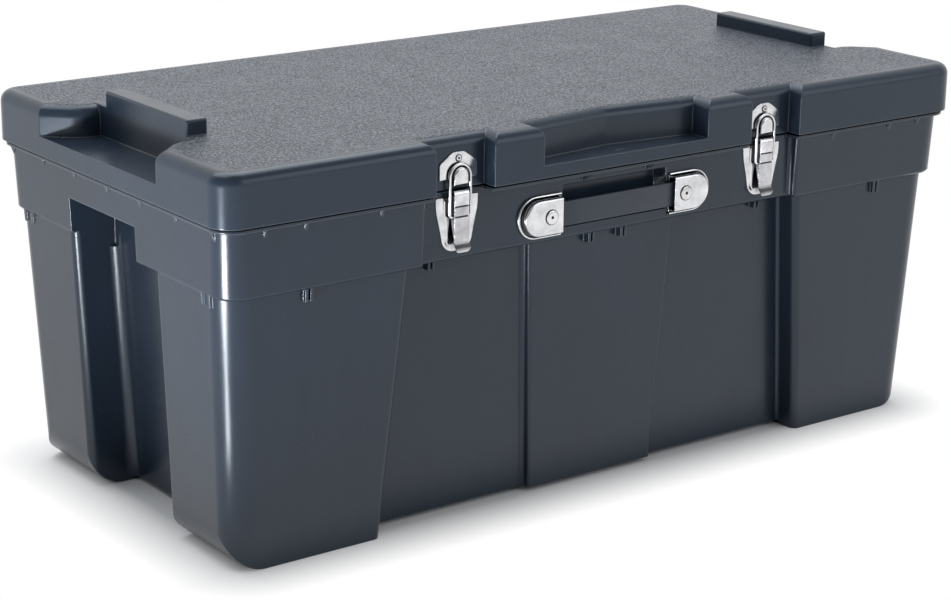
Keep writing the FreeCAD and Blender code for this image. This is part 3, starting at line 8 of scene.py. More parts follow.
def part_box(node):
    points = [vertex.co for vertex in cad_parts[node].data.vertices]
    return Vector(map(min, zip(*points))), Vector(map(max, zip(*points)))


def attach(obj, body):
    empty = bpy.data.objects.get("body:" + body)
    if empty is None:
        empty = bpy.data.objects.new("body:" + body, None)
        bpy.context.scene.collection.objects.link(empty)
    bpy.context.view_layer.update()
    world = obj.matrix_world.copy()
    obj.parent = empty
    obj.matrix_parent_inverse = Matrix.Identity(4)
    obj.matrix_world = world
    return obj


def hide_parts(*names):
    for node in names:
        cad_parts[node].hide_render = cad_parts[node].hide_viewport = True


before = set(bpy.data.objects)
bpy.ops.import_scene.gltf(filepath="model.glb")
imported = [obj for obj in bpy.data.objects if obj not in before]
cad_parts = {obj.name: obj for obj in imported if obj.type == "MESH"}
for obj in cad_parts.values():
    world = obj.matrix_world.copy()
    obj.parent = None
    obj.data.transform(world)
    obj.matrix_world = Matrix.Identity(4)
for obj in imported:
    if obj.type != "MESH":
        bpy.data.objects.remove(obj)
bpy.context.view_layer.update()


# Tub: one hollow moulding of dark slate polyethylene that stands on four corner feet. Its skin is
# satin and faintly cloudy, with upright flow marks from the mould, and paler where edges are rubbed.
def add_node(tree, kind, **settings):
    """A shader node: each setting is a value or an output for the socket of that name, or an option."""
    node = tree.nodes.new("ShaderNode" + kind)
    for name, value in settings.items():
        socket = node.inputs.get(name.replace("_", " ").title())
        if socket is None:
            setattr(node, name, value)
        elif isinstance(value, bpy.types.NodeSocket):
            tree.links.new(value, socket)
        else:
            socket.default_value = value
    return node


def number(tree, operation, first, second=0.0):
    """The result of an operation on two numbers, each a value or an output."""
    node = add_node(tree, "Math", operation=operation)
    for socket, value in zip(node.inputs, (first, second)):
        if isinstance(value, float):
            socket.default_value = value
        else:
            tree.links.new(value, socket)
    return node.outputs["Value"]


def fit(tree, value, low, high, least=0.0, most=1.0):
    """A value from low to high, spread over least to most and held there."""
    limits = {"from_min": low, "from_max": high, "to_min": least, "to_max": most}
    return add_node(tree, "MapRange", value=value, **limits).outputs["Result"]


def noise(tree, place, scale, detail=2.0):
    """Soft random spots, about one for each metre over scale."""
    return add_node(tree, "TexNoise", vector=place, scale=scale, detail=detail).outputs["Fac"]


def mix(tree, share, first, second):
    """A colour between two, each a value or an output."""
    node = add_node(tree, "Mix", data_type="RGBA", factor=share)
    for place, colour in ((6, first), (7, second)):
        if isinstance(colour, bpy.types.NodeSocket):
            tree.links.new(colour, node.inputs[place])
        else:
            node.inputs[place].default_value = colour
    return node.outputs[2]


def shade(tree, colour, value):
    """A colour made darker or lighter by a value."""
    return add_node(tree, "HueSaturation", color=colour, value=value).outputs["Color"]


def new_look(name):
    """A new material, its node tree, its shader and the place of each point on the piece."""
    look = bpy.data.materials.new(name)
    look.use_nodes = True
    tree = look.node_tree
    return look, tree, tree.nodes["Principled BSDF"], add_node(tree, "TexCoord").outputs["Object"]


def dress(tree, shader, colour, rough, normal):
    """Feeds the shader's colour, roughness and normal."""
    for socket, source in (("Base Color", colour), ("Roughness", rough), ("Normal", normal)):
        tree.links.new(source, shader.inputs[socket])


def wear(node, look):
    """Gives a CAD node one material."""
    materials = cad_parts[node].data.materials
    materials.clear()
    materials.append(look)


edge_round, painted_shade_reach = 0.0022, 0.006
skin = bpy.data.node_groups.new("moulded_skin", "ShaderNodeTree")
for name, way, kind in (
    ("Tone", "INPUT", "Color"),
    ("Worn", "INPUT", "Color"),
    ("Color", "OUTPUT", "Color"),
    ("Roughness", "OUTPUT", "Float"),
    ("Normal", "OUTPUT", "Vector"),
):
    skin.interface.new_socket(name, in_out=way, socket_type="NodeSocket" + kind)
skin_given = skin.nodes.new("NodeGroupInput").outputs
skin_place = add_node(skin, "TexCoord").outputs["Object"]
skin_round = add_node(skin, "Bevel", samples=8, radius=edge_round).outputs["Normal"]
skin_turn = add_node(skin, "VectorMath", operation="DOT_PRODUCT")
skin.links.new(skin_round, skin_turn.inputs[0])
skin.links.new(add_node(skin, "NewGeometry").outputs["Normal"], skin_turn.inputs[1])
skin_edge = fit(skin, skin_turn.outputs["Value"], 0.99, 0.80)
flow_place = add_node(skin, "Mapping", vector=skin_place, scale=(70.0, 70.0, 5.0)).outputs["Vector"]
cloud = fit(skin, noise(skin, skin_place, 7.0, 3.0), 0.3, 0.7, 0.90, 1.10)
flow = fit(skin, noise(skin, flow_place, 1.0), 0.3, 0.7, 0.95, 1.05)
skin_tone = shade(skin, skin_given["Tone"], number(skin, "MULTIPLY", cloud, flow))
skin_rubbed = mix(skin, skin_edge, skin_tone, skin_given["Worn"])
# Painted shade: ambient occlusion darkens the skin's colour in corners, creases and recesses.
skin_painted_shade = add_node(skin, "AmbientOcclusion", samples=6, distance=painted_shade_reach).outputs["AO"]
skin_spark = noise(skin, skin_place, 900.0)
skin_bump = add_node(skin, "Bump", strength=0.06, distance=0.0004, height=skin_spark, normal=skin_round)
skin_made = skin.nodes.new("NodeGroupOutput").inputs
for name, source in (
    ("Color", shade(skin, skin_rubbed, fit(skin, skin_painted_shade, 0.15, 0.55, 0.12, 1.0))),
    ("Roughness", fit(skin, noise(skin, skin_place, 22.0, 4.0), 0.2, 0.8, 0.20, 0.30)),
    ("Normal", skin_bump.outputs["Normal"]),
):
    skin.links.new(source, skin_made[name])

slate = (0.017, 0.027, 0.044, 1.0)
slate_rubbed = (0.075, 0.092, 0.112, 1.0)


def slate_skin(tree):
    """The outputs of the moulded skin in slate."""
    node = tree.nodes.new("ShaderNodeGroup")
    node.node_tree = skin
    node.inputs["Tone"].default_value = slate
    node.inputs["Worn"].default_value = slate_rubbed
    return node.outputs


tub_look, tub_tree, tub_shader = new_look("tub_plastic")[:3]
tub_shader.inputs["Specular Tint"].default_value = (0.92, 0.96, 1.0, 1.0)
tub_skin = slate_skin(tub_tree)
dress(tub_tree, tub_shader, tub_skin["Color"], tub_skin["Roughness"], tub_skin["Normal"])
wear("tub", tub_look)

# Lid: the same plastic, its flat top cast with a coarse pebble grain that stops short of the rounded
# edges, the front recess, the end pockets and the raised bars, which are left smooth.
lid_look, lid_tree, lid_shader, lid_place = new_look("lid_plastic")
lid_shader.inputs["Specular Tint"].default_value = (0.84, 0.92, 1.0, 1.0)
lid_skin = slate_skin(lid_tree)
lid_axes = add_node(lid_tree, "SeparateXYZ", vector=lid_place).outputs
grain_half_x, grain_half_y, grain_low, grain_high, grain_fade = 0.456, 0.218, 0.3988, 0.4015, 0.004
# The grain's colour is painted light: painted highlight on the pebbles' crowns, painted shade in their
# valleys.
pebble_painted_shade, pebble_painted_highlight = (0.004, 0.006, 0.010, 1.0), (0.24, 0.265, 0.33, 1.0)
lid_up = add_node(lid_tree, "SeparateXYZ")
lid_tree.links.new(lid_place.node.outputs["Normal"], lid_up.inputs["Vector"])
grain_edges = (
    fit(lid_tree, number(lid_tree, "ABSOLUTE", lid_axes["X"]), grain_half_x, grain_half_x - grain_fade),
    fit(lid_tree, number(lid_tree, "ABSOLUTE", lid_axes["Y"]), grain_half_y, grain_half_y - grain_fade),
    fit(lid_tree, lid_axes["Z"], grain_low, grain_low + 0.0008),
    fit(lid_tree, lid_axes["Z"], grain_high, grain_high - 0.001),
    fit(lid_tree, lid_up.outputs["Z"], 0.80, 0.95),
)
grain = grain_edges[0]
for grain_edge in grain_edges[1:]:
    grain = number(lid_tree, "MULTIPLY", grain, grain_edge)
grain_place = add_node(lid_tree, "Mapping", vector=lid_place, scale=(1.0, 0.7, 1.0)).outputs["Vector"]
pebbles = add_node(lid_tree, "TexVoronoi", vector=grain_place, scale=500.0).outputs["Distance"]
crumbs = noise(lid_tree, grain_place, 680.0, 2.0)
pebble = number(lid_tree, "SUBTRACT", crumbs, number(lid_tree, "MULTIPLY", pebbles, 0.7))
lid_bump = add_node(lid_tree, "Bump", strength=1.0, distance=0.0020, normal=lid_skin["Normal"])
lid_tree.links.new(number(lid_tree, "MULTIPLY", pebble, grain), lid_bump.inputs["Height"])
pebble_painted_light = mix(lid_tree, fit(lid_tree, pebble, 0.08, 0.40), pebble_painted_shade, pebble_painted_highlight)
dress(
    lid_tree,
    lid_shader,
    mix(lid_tree, grain, lid_skin["Color"], pebble_painted_light),
    number(lid_tree, "ADD", lid_skin["Roughness"], number(lid_tree, "MULTIPLY", grain, 0.12)),
    lid_bump.outputs["Normal"],
)
wear("lid", lid_look)

# Hinge pins, lever pins and nuts: plain turned steel under a thin dull film of oil. The pins lie in
# their knuckles and flanges, and the nuts hold the handle's screws inside the tub.
steel, steel_tree, steel_shader, steel_place = new_look("turned_steel")
steel_shader.inputs["Metallic"].default_value = 1.0
steel_film = noise(steel_tree, steel_place, 180.0, 3.0)
steel_scores = noise(steel_tree, steel_place, 1400.0)
steel_bump = add_node(steel_tree, "Bump", strength=0.12, distance=0.0002, height=steel_scores)
dress(
    steel_tree,
    steel_shader,
    mix(steel_tree, steel_film, (0.34, 0.34, 0.35, 1.0), (0.60, 0.60, 0.60, 1.0)),
    fit(steel_tree, steel_film, 0.2, 0.8, 0.24, 0.44),
    steel_bump.outputs["Normal"],
)
SIDES = ("left", "right")
for node in ("hinge_pin_left", "hinge_pin_centre", "hinge_pin_right"):
    wear(node, steel)
for side in SIDES:
    wear(f"lever_pin_{side}", steel)
    wear(f"handle_nut_{side}", steel)


# Latch bases: a shield with drawn-in sides, pressed from nickel-plated sheet and riveted to the band,
# a raised pan down its middle and two ears folded forwards for the lever's pin.
def plating(name, thin, thick, rough, wave):
    """A plated look with painted shade in its folds: its thin and thick colours, the middle of its
    roughness and how wavy it is.
    """
    look, tree, shader, place = new_look(name)
    shader.inputs["Metallic"].default_value = 1.0
    cloud = noise(tree, place, 70.0, 4.0)
    # Painted shade: ambient occlusion darkens the plating where parts crowd together.
    fold_painted_shade = add_node(tree, "AmbientOcclusion", samples=8, distance=0.016).outputs["AO"]
    colour = mix(tree, fit(tree, cloud, 0.3, 0.7), thin, thick)
    soft = add_node(tree, "Bevel", samples=6, radius=0.0006).outputs["Normal"]
    swell = noise(tree, place, 130.0, 1.0)
    bump = add_node(tree, "Bump", strength=wave, distance=0.0006, height=swell, normal=soft)
    dress(
        tree,
        shader,
        shade(tree, colour, fit(tree, fold_painted_shade, 0.30, 0.74, 0.04, 1.0)),
        fit(tree, cloud, 0.2, 0.8, rough - 0.06, rough + 0.06),
        bump.outputs["Normal"],
    )
    return look


nickel = plating("nickel_plate", (0.58, 0.59, 0.61, 1.0), (0.86, 0.86, 0.88, 1.0), 0.17, 0.18)


def cut_sheet(outline, spot, through):
    """A sheet cut to an outline, rounded at its corners and given its thickness.

    A row of the outline is two measures and how far from that corner its round begins, spot turns the
    measures into a point, and through is the thickness as a vector.
    """
    sheet = bmesh.new()
    corners = [sheet.verts.new(spot(across, up)) for across, up, reach in outline]
    sheet.faces.new(corners)
    for corner, (across, up, reach) in zip(corners, outline):
        if reach > 0.0:
            bmesh.ops.bevel(
                sheet,
                geom=[corner],
                offset=reach,
                offset_type="ABSOLUTE",
                segments=6,
                profile=0.5,
                affect="VERTICES",
                material=-1,
            )
    grown = bmesh.ops.extrude_face_region(sheet, geom=sheet.faces[:])["geom"]
    moved = [item for item in grown if isinstance(item, bmesh.types.BMVert)]
    bmesh.ops.translate(sheet, verts=moved, vec=through)
    bmesh.ops.recalc_face_normals(sheet, faces=sheet.faces)
    return sheet


def draw_in(sheet, steps):
    """Draws the sheet's front face inwards and forwards, step by step."""
    front = min(sheet.faces, key=lambda face: face.calc_center_median().y)
    for inwards, forwards in steps:
        bmesh.ops.inset_region(
            sheet,
            faces=[front],
            thickness=inwards,
            depth=forwards,
            use_boundary=True,
            use_even_offset=True,
        )


def both(half):
    """A whole outline from its right half, which is listed from the top down."""
    return list(half) + [(-across, up, reach) for across, up, reach in reversed(half)]


def joined(shape, *others):
    """Puts other bmeshes into the first."""
    for other in others:
        loose = bpy.data.meshes.new("loose")
        other.to_mesh(loose)
        other.free()
        shape.from_mesh(loose)
        bpy.data.meshes.remove(loose)
    return shape


def finish_piece(name, shape, looks, node, body):
    """Makes a bmesh a piece that stands for a CAD node, rides on a body and has a slot's finish."""
    mesh = bpy.data.meshes.new(name)
    shape.to_mesh(mesh)
    shape.free()
    for look in looks:
        mesh.materials.append(look)
    mesh.shade_smooth()
    mesh.set_sharp_from_angle(angle=math.radians(38))
    piece = bpy.data.objects.new(name, mesh)
    bpy.context.scene.collection.objects.link(piece)
    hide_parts(node)
    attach(piece, body)


base_gauge, base_tall = 0.0012, 0.0545
BASE_HALF = (
    (0.0250, base_tall, 0.0010),
    (0.0250, 0.0430, 0.0060),
    (0.0190, 0.0180, 0.0060),
    (0.0160, 0.0000, 0.0115),
)
PAN_HALF = (
    (0.0155, 0.0520, 0.0015),
    (0.0155, 0.0300, 0.0030),
    (0.0125, 0.0045, 0.0070),
)
ear_inner, ear_gauge, ear_nose = 0.0056, 0.0015, 0.0026
for side in SIDES:
    low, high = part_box(f"latch_base_{side}")
    pin_low, pin_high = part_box(f"lever_pin_{side}")
    middle, wall, foot = (low[0] + high[0]) / 2, high[1], low[2]
    pin_y, pin_z = (pin_low[1] + pin_high[1]) / 2, (pin_low[2] + pin_high[2]) / 2
    base = cut_sheet(both(BASE_HALF), lambda x, z: (middle + x, wall, foot + z), (0.0, -0.0008, 0.0))
    draw_in(base, ((0.0002, 0.0003), (0.0004, 0.0001)))
    front = wall - base_gauge
    pan_back = front + 0.0002
    pan = cut_sheet(both(PAN_HALF), lambda x, z: (middle + x, pan_back, foot + z), (0.0, -0.0003, 0.0))
    draw_in(pan, ((0.0004, 0.0003), (0.0005, 0.0002)))
    ear_outline = (
        (front, foot + 0.0445, 0.0),
        (pin_y - ear_nose, pin_z - ear_nose, 0.0022),
        (pin_y - ear_nose, pin_z + ear_nose, 0.0024),
        (pin_y + ear_nose, pin_z + ear_nose, 0.0024),
        (front, foot + base_tall, 0.0),
    )
    ears = []
    for inner in (ear_inner, -ear_inner - ear_gauge):
        ears.append(cut_sheet(ear_outline, lambda y, z: (middle + inner, y, z), (ear_gauge, 0.0, 0.0)))
    base = joined(base, pan, *ears)
    finish_piece(f"base_pressing_{side}", base, (nickel,), f"latch_base_{side}", "tub")

# Keepers: a peaked shield of the same plated sheet, riveted to the lid in its notch, with a
# round-topped hook pressed out of it that the bail pulls down on.
keeper_gauge = 0.0016
KEEPER_HALF = (
    (0.0068, 0.0260, 0.0030),
    (0.0220, 0.0155, 0.0015),
    (0.0220, 0.0000, 0.0006),
)
hook_half, hook_under = 0.0084, 0.0141
for side in SIDES:
    low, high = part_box(f"keeper_{side}")
    middle, wall, top = (low[0] + high[0]) / 2, high[1], high[2]
    foot = top - KEEPER_HALF[0][1]
    keeper = cut_sheet(both(KEEPER_HALF), lambda x, z: (middle + x, wall, foot + z), (0.0, -0.0011, 0.0))
    draw_in(keeper, ((0.0002, 0.0004), (0.0004, 0.0001)))
    hook_outline = ((hook_half, top - hook_under, 0.0080), (hook_half, low[2], 0.0))
    hook_back = wall - keeper_gauge
    hook = cut_sheet(both(hook_outline), lambda x, z: (middle + x, hook_back, z), (0.0, -0.0042, 0.0))
    draw_in(hook, ((0.0003, 0.0011), (0.0008, 0.0008), (0.0013, 0.0003)))
    keeper = joined(keeper, hook)
    finish_piece(f"keeper_pressing_{side}", keeper, (nickel,), f"keeper_{side}", "lid")

# Rivets: plated, with a rolled head round a small eye and a shank clinched behind the wall. The eye
# and a ring round the head carry painted shade, a near-black material.
# Painted shade: a near-black material laid in rivet eyes, screw sockets and rings, and lever grooves.
recess_shade, recess_shade_tree, recess_shade_shader, recess_shade_place = new_look("painted_recess_shade")
recess_shade_spots = noise(recess_shade_tree, recess_shade_place, 700.0)
recess_shade_bump = add_node(recess_shade_tree, "Bump", strength=0.3, distance=0.0002, height=recess_shade_spots)
dress(
    recess_shade_tree,
    recess_shade_shader,
    mix(recess_shade_tree, recess_shade_spots, (0.006, 0.006, 0.006, 1.0), (0.030, 0.028, 0.026, 1.0)),
    fit(recess_shade_tree, recess_shade_spots, 0.0, 1.0, 0.5, 0.7),
    recess_shade_bump.outputs["Normal"],
)


def turned(outline, x, z, dark):
    """Spins an outline of radius and y about an axis along Y; dark rings get the second material, the
    painted shade.
    """
    shape = bmesh.new()
    points = [shape.verts.new((x + radius, y, z)) for radius, y in outline]
    edges = [shape.edges.new(pair) for pair in zip(points, points[1:])]
    bmesh.ops.spin(
        shape,
        geom=points + edges,
        cent=(x, 0.0, z),
        axis=(0.0, 1.0, 0.0),
        angle=math.tau,
        steps=28,
        use_merge=True,
        use_duplicate=False,
    )
    bmesh.ops.remove_doubles(shape, verts=shape.verts, dist=1e-6)
    bmesh.ops.recalc_face_normals(shape, faces=shape.faces)
    for face in shape.faces:
        middle = face.calc_center_median()
        radius = math.hypot(middle.x - x, middle.z - z)
        if any(inner < radius < outer for inner, outer in dark):
            face.material_index = 1
    return shape


rivet_shank, rivet_head = 0.0018, 0.0036


def rivet(front, back, x, z):
    """A rivet from the front of its head to its tail."""
    seat = front + 0.0012
    outline = (
        (0.0, seat - 0.0002),
        (0.0009, seat - 0.0002),
        (0.0012, front + 0.0002),
        (0.0018, front),
        (0.0026, front + 0.0002),
        (0.0029, front + 0.0006),
        (rivet_head, front + 0.0007),
        (rivet_head, seat),
        (rivet_shank, seat),
        (rivet_shank, back - 0.0006),
        (0.0015, back),
        (0.0, back),
    )
    return turned(outline, x, z, ((0.0, 0.0010), (0.0028, rivet_head)))


for side in SIDES:
    low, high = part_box(f"keeper_rivet_{side}")
    x, z = (low[0] + high[0]) / 2, (low[2] + high[2]) / 2
    pin = rivet(low[1], high[1], x, z)
    looks = (nickel, recess_shade)
    finish_piece(f"keeper_rivet_turned_{side}", pin, looks, f"keeper_rivet_{side}", "lid")
    low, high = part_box(f"latch_rivets_{side}")
    x = (low[0] + high[0]) / 2
    pins = [rivet(low[1], high[1], x, z) for z in (low[2] + rivet_head, high[2] - rivet_head)]
    pair = joined(*pins)
    finish_piece(f"latch_rivets_turned_{side}", pair, looks, f"latch_rivets_{side}", "tub")

# Levers: one plated sheet folded to a channel and rolled over its pin, with two grooves pressed across
# it and a thumb tip curled outwards. Its plating is dulled by use. Painted shade darkens the tip above
# its rim and the grooves' floors, and painted highlight lies on the tip's bottom rim and on the head.
lever_gauge, lever_half, lever_curl, lever_rise = 0.0011, 0.0087, 0.0035, 0.0615
GROOVES = (0.0342, 0.0444)
groove_deep, groove_slope, groove_wide = 0.0010, 0.0005, 0.0019
LEVER_LINE = [
    (0.0000, 0.0022),
    (0.0046, 0.0034),
    (0.0062, 0.0022),
    (0.0078, 0.0008),
    (0.0095, 0.0001),
    (0.0110, 0.0),
]
for groove in GROOVES:
    LEVER_LINE += [
        (groove, 0.0),
        (groove + groove_slope, -groove_deep),
        (groove + groove_wide - groove_slope, -groove_deep),
        (groove + groove_wide, 0.0),
    ]
LEVER_LINE += [
    (0.0570, 0.0),
    (0.0592, -0.0004),
    (0.0606, -0.0013),
    (0.0614, -0.0028),
    (lever_rise, -0.0044),
]
FLANGE = (
    (0.0006, 0.0120, 0.0),
    (0.0068, 0.0336, 0.0030),
    (0.0068, 0.0610, 0.0024),
    (0.0030, 0.0612, 0.0),
    (0.0006, 0.0586, 0.0010),
)
lever_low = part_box("latch_lever_left")[0][2]
lever_look = plating("dulled_nickel_painted_light", (0.42, 0.42, 0.44, 1.0), (0.66, 0.66, 0.69, 1.0), 0.24, 0.30)
lever_tree = lever_look.node_tree
lever_shader = lever_tree.nodes["Principled BSDF"]
lever_place = add_node(lever_tree, "TexCoord").outputs["Object"]
lever_height = add_node(lever_tree, "SeparateXYZ", vector=lever_place).outputs["Z"]
# Painted light by height: painted shade over the tip, painted highlight on its bottom rim and on the
# head above the upper groove.
tip_painted_shade = fit(lever_tree, lever_height, lever_low + 0.0105, lever_low + 0.0080, 1.0, 0.24)
tip_rim_painted_highlight = fit(lever_tree, lever_height, lever_low + 0.0050, lever_low + 0.0003, 0.0, 0.9)
head_low = lever_low + GROOVES[1]
head_painted_highlight = fit(lever_tree, lever_height, head_low, head_low + 0.002, 0.0, 0.4)
lever_plain = lever_shader.inputs["Base Color"].links[0].from_socket
lever_painted_light = number(lever_tree, "ADD", number(lever_tree, "ADD", tip_painted_shade, tip_rim_painted_highlight), head_painted_highlight)
lever_tree.links.new(shade(lever_tree, lever_plain, lever_painted_light), lever_shader.inputs["Base Color"])
for side in SIDES:
    low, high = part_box(f"latch_lever_{side}")
    middle, foot, face = (low[0] + high[0]) / 2, low[2], low[1] + lever_curl
    lever = bmesh.new()
    line = [lever.verts.new((middle - lever_half, face - out, foot + up)) for up, out in LEVER_LINE]
    edges = [lever.edges.new(pair) for pair in zip(line, line[1:])]
    across = bmesh.ops.extrude_edge_only(lever, edges=edges)["geom"]
    moved = [item for item in across if isinstance(item, bmesh.types.BMVert)]
    bmesh.ops.translate(lever, verts=moved, vec=(2 * lever_half, 0.0, 0.0))
    tips = [corner for corner in lever.verts if corner.co.z < foot + 0.0001]
    bmesh.ops.bevel(
        lever,
        geom=tips,
        offset=0.0044,
        offset_type="ABSOLUTE",
        segments=5,
        profile=0.5,
        affect="VERTICES",
        material=-1,
    )
    # The grooves' floors take the second material, the painted shade.
    for one in lever.faces:
        if one.calc_center_median().y > face + 0.0008 and one.calc_center_median().z < foot + 0.0570:
            one.material_index = 1
    bmesh.ops.recalc_face_normals(lever, faces=lever.faces)
    lever.faces.ensure_lookup_table()
    if max(lever.faces, key=lambda one: one.calc_area()).normal.y > 0.0:
        bmesh.ops.reverse_faces(lever, faces=lever.faces)
    bmesh.ops.solidify(lever, geom=lever.faces[:], thickness=lever_gauge)
    flanges = []
    for inner in (lever_half - lever_gauge, -lever_half):
        through = (lever_gauge, 0.0, 0.0)
        flanges.append(cut_sheet(FLANGE, lambda y, z: (middle + inner, face + y, foot + z), through))
    finish_piece(
        f"lever_pressing_{side}",
        joined(lever, *flanges),
        (lever_look, recess_shade),
        f"latch_lever_{side}",
        f"latch_lever_{side}",
    )

# Bails: one round plated wire bent to a long arch that catches the keeper's hook, with its feet turned
# in through the lever's flanges.
wire, foot_bend, foot_end = 0.0015, 0.0032, 0.0072
for side in SIDES:
    low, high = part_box(f"latch_bail_{side}")
    middle, plane = (low[0] + high[0]) / 2, (low[1] + high[1]) / 2
    reach = (high[0] - low[0]) / 2 - wire
    foot, arch = low[2] + wire, high[2] - wire - reach
    half_path = [(foot_end, foot)]
    for turn in range(-90, 1, 15):
        angle = math.radians(turn)
        across = reach - foot_bend * (1 - math.cos(angle))
        half_path.append((across, foot + foot_bend * (1 + math.sin(angle))))
    for turn in range(0, 90, 9):
        angle = math.radians(turn)
        half_path.append((reach * math.cos(angle), arch + reach * math.sin(angle)))
    path = half_path + [(0.0, arch + reach)] + [(-across, up) for across, up in reversed(half_path)]
    line = bpy.data.curves.new(f"bail_line_{side}", "CURVE")
    line.dimensions = "3D"
    line.bevel_depth = wire
    line.bevel_resolution = 4
    line.use_fill_caps = True
    strand = line.splines.new("POLY")
    strand.points.add(len(path) - 1)
    for point, (across, up) in zip(strand.points, path):
        point.co = (middle + across, plane, up, 1.0)
    draft = bpy.data.objects.new(f"bail_draft_{side}", line)
    bpy.context.scene.collection.objects.link(draft)
    bpy.context.view_layer.update()
    tube = bpy.data.meshes.new_from_object(draft.evaluated_get(bpy.context.evaluated_depsgraph_get()))
    bpy.data.objects.remove(draft)
    bail = bmesh.new()
    bail.from_mesh(tube)
    bpy.data.meshes.remove(tube)
    bail_name = f"latch_bail_{side}"
    finish_piece(f"bail_wire_{side}", bail, (nickel,), bail_name, bail_name)

# Handle plates and caps: plated pressings with one round end. A plate has a rolled rim and lies on the
# band, and a cap stands over the strap's end, open towards the grip.
PLATE_STEPS = (
    (0.0003, 0.0005),
    (0.0005, 0.0004),
    (0.0008, 0.0002),
    (0.0006, -0.0003),
    (0.0005, -0.0010),
    (0.0006, -0.0007),
    (0.0010, -0.0001),
)
CAP_STEPS = (
    (0.0002, 0.0011),
    (0.0006, 0.0009),
    (0.0012, 0.0006),
    (0.0011, 0.0001),
    (0.0009, -0.0002),
)
plate_rise, plate_gauge, cap_rise, cap_gauge = 0.0022, 0.0011, 0.0052, 0.0015
PRESSINGS = (
    ("handle_plate", plate_rise, PLATE_STEPS, plate_gauge),
    ("handle_cap", cap_rise, CAP_STEPS, cap_gauge),
)
overlong = 0.008
for side, sign in zip(SIDES, (-1.0, 1.0)):
    for node, rise, steps, gauge in PRESSINGS:
        low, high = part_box(f"{node}_{side}")
        flat, tip = (high[0], low[0]) if side == "left" else (low[0], high[0])
        half, middle, wall = (high[2] - low[2]) / 2, (high[2] + low[2]) / 2, high[1]
        centre = tip - sign * half
        tab_outline = [(flat - sign * overlong, half, 0.0)]
        for turn in range(-90, 91, 9):
            angle = math.radians(turn)
            tab_outline.append((centre + sign * half * math.cos(angle), -half * math.sin(angle), 0.0))
        tab_outline.append((flat - sign * overlong, -half, 0.0))
        tab = cut_sheet(tab_outline, lambda x, z: (x, wall, middle + z), (0.0, -rise, 0.0))
        draw_in(tab, steps)
        back = max(tab.faces, key=lambda one: one.calc_center_median().y)
        bmesh.ops.delete(tab, geom=[back], context="FACES")
        bmesh.ops.bisect_plane(
            tab,
            geom=tab.verts[:] + tab.edges[:] + tab.faces[:],
            plane_co=(flat, 0.0, 0.0),
            plane_no=(-sign, 0.0, 0.0),
            clear_outer=True,
        )
        bmesh.ops.solidify(tab, geom=tab.faces[:], thickness=gauge)
        finish_piece(f"{node}_pressing_{side}", tab, (nickel,), f"{node}_{side}", "tub")

# Handle screws: a broad low plated head with a turned groove near its rim and a small socket, both
# darkened with painted shade. The shank goes through cap, strap and plate to a nut inside the tub.
screw_shank, screw_head_tall, screw_socket = 0.0019, 0.0012, 0.0014
for side in SIDES:
    low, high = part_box(f"handle_screw_{side}")
    x, z = (low[0] + high[0]) / 2, (low[2] + high[2]) / 2
    head = (high[2] - low[2]) / 2
    front, seat, tail = low[1], low[1] + screw_head_tall, high[1]
    outline = (
        (0.0, seat - 0.0001),
        (screw_socket, seat - 0.0001),
        (0.0016, front + 0.0002),
        (0.0024, front),
        (head - 0.0014, front + 0.0002),
        (head - 0.0008, front + 0.0005),
        (head - 0.0005, front + 0.0009),
        (head, seat - 0.0001),
        (head, seat),
        (screw_shank, seat),
        (screw_shank, tail - 0.0006),
        (0.0015, tail),
        (0.0, tail),
    )
    screw = turned(outline, x, z, ((0.0, 0.0015), (head - 0.0007, head)))
    looks = (nickel, recess_shade)
    finish_piece(f"handle_screw_turned_{side}", screw, looks, f"handle_screw_{side}", "tub")

# Strap: blued spring steel, slotted at both ends, where it shows only inside the caps.
# It slides on the screws as the handle is pulled.
strap_look, strap_tree, strap_shader, strap_place = new_look("blued_steel")
strap_shader.inputs["Metallic"].default_value = 1.0
strap_heat = noise(strap_tree, strap_place, 40.0)
strap_scale = noise(strap_tree, strap_place, 900.0)
strap_bump = add_node(strap_tree, "Bump", strength=0.2, distance=0.0002, height=strap_scale)
dress(
    strap_tree,
    strap_shader,
    mix(strap_tree, strap_heat, (0.08, 0.09, 0.12, 1.0), (0.22, 0.22, 0.23, 1.0)),
    fit(strap_tree, strap_heat, 0.2, 0.8, 0.34, 0.46),
    strap_bump.outputs["Normal"],
)
wear("handle_strap", strap_look)

# Grip: soft dark slate vinyl moulded round the strap, with rounded edges and a fine skin that hands
# have polished in places.
grip_look, grip_tree, grip_shader, grip_place = new_look("vinyl_grip")
grip_cloud = noise(grip_tree, grip_place, 30.0, 3.0)
grip_skin = noise(grip_tree, grip_place, 1200.0)
grip_bump = add_node(grip_tree, "Bump", strength=0.15, distance=0.0003, height=grip_skin)
dress(
    grip_tree,
    grip_shader,
    mix(grip_tree, grip_cloud, (0.024, 0.033, 0.050, 1.0), (0.042, 0.054, 0.074, 1.0)),
    fit(grip_tree, grip_cloud, 0.2, 0.8, 0.28, 0.40),
    grip_bump.outputs["Normal"],
)
low, high = (Vector(corner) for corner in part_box("handle_grip"))
grip = bmesh.new()
bmesh.ops.create_cube(grip, size=1.0)
bmesh.ops.scale(grip, verts=grip.verts, vec=high - low)
bmesh.ops.translate(grip, verts=grip.verts, vec=(low + high) / 2)
long_edges = [edge for edge in grip.edges if abs(edge.verts[0].co.x - edge.verts[1].co.x) > 0.01]
grip_thick = high.y - low.y
rounding = {"profile": 0.5, "affect": "EDGES", "material": -1}
bmesh.ops.bevel(grip, geom=long_edges, offset=0.46 * grip_thick, segments=6, **rounding)
ends = [face for face in grip.faces if abs(face.normal.x) > 0.9]
end_edges = [edge for face in ends for edge in face.edges]
bmesh.ops.bevel(grip, geom=end_edges, offset=0.0005, segments=2, **rounding)
finish_piece("grip_moulding", grip, (grip_look,), "handle_grip", "handle")

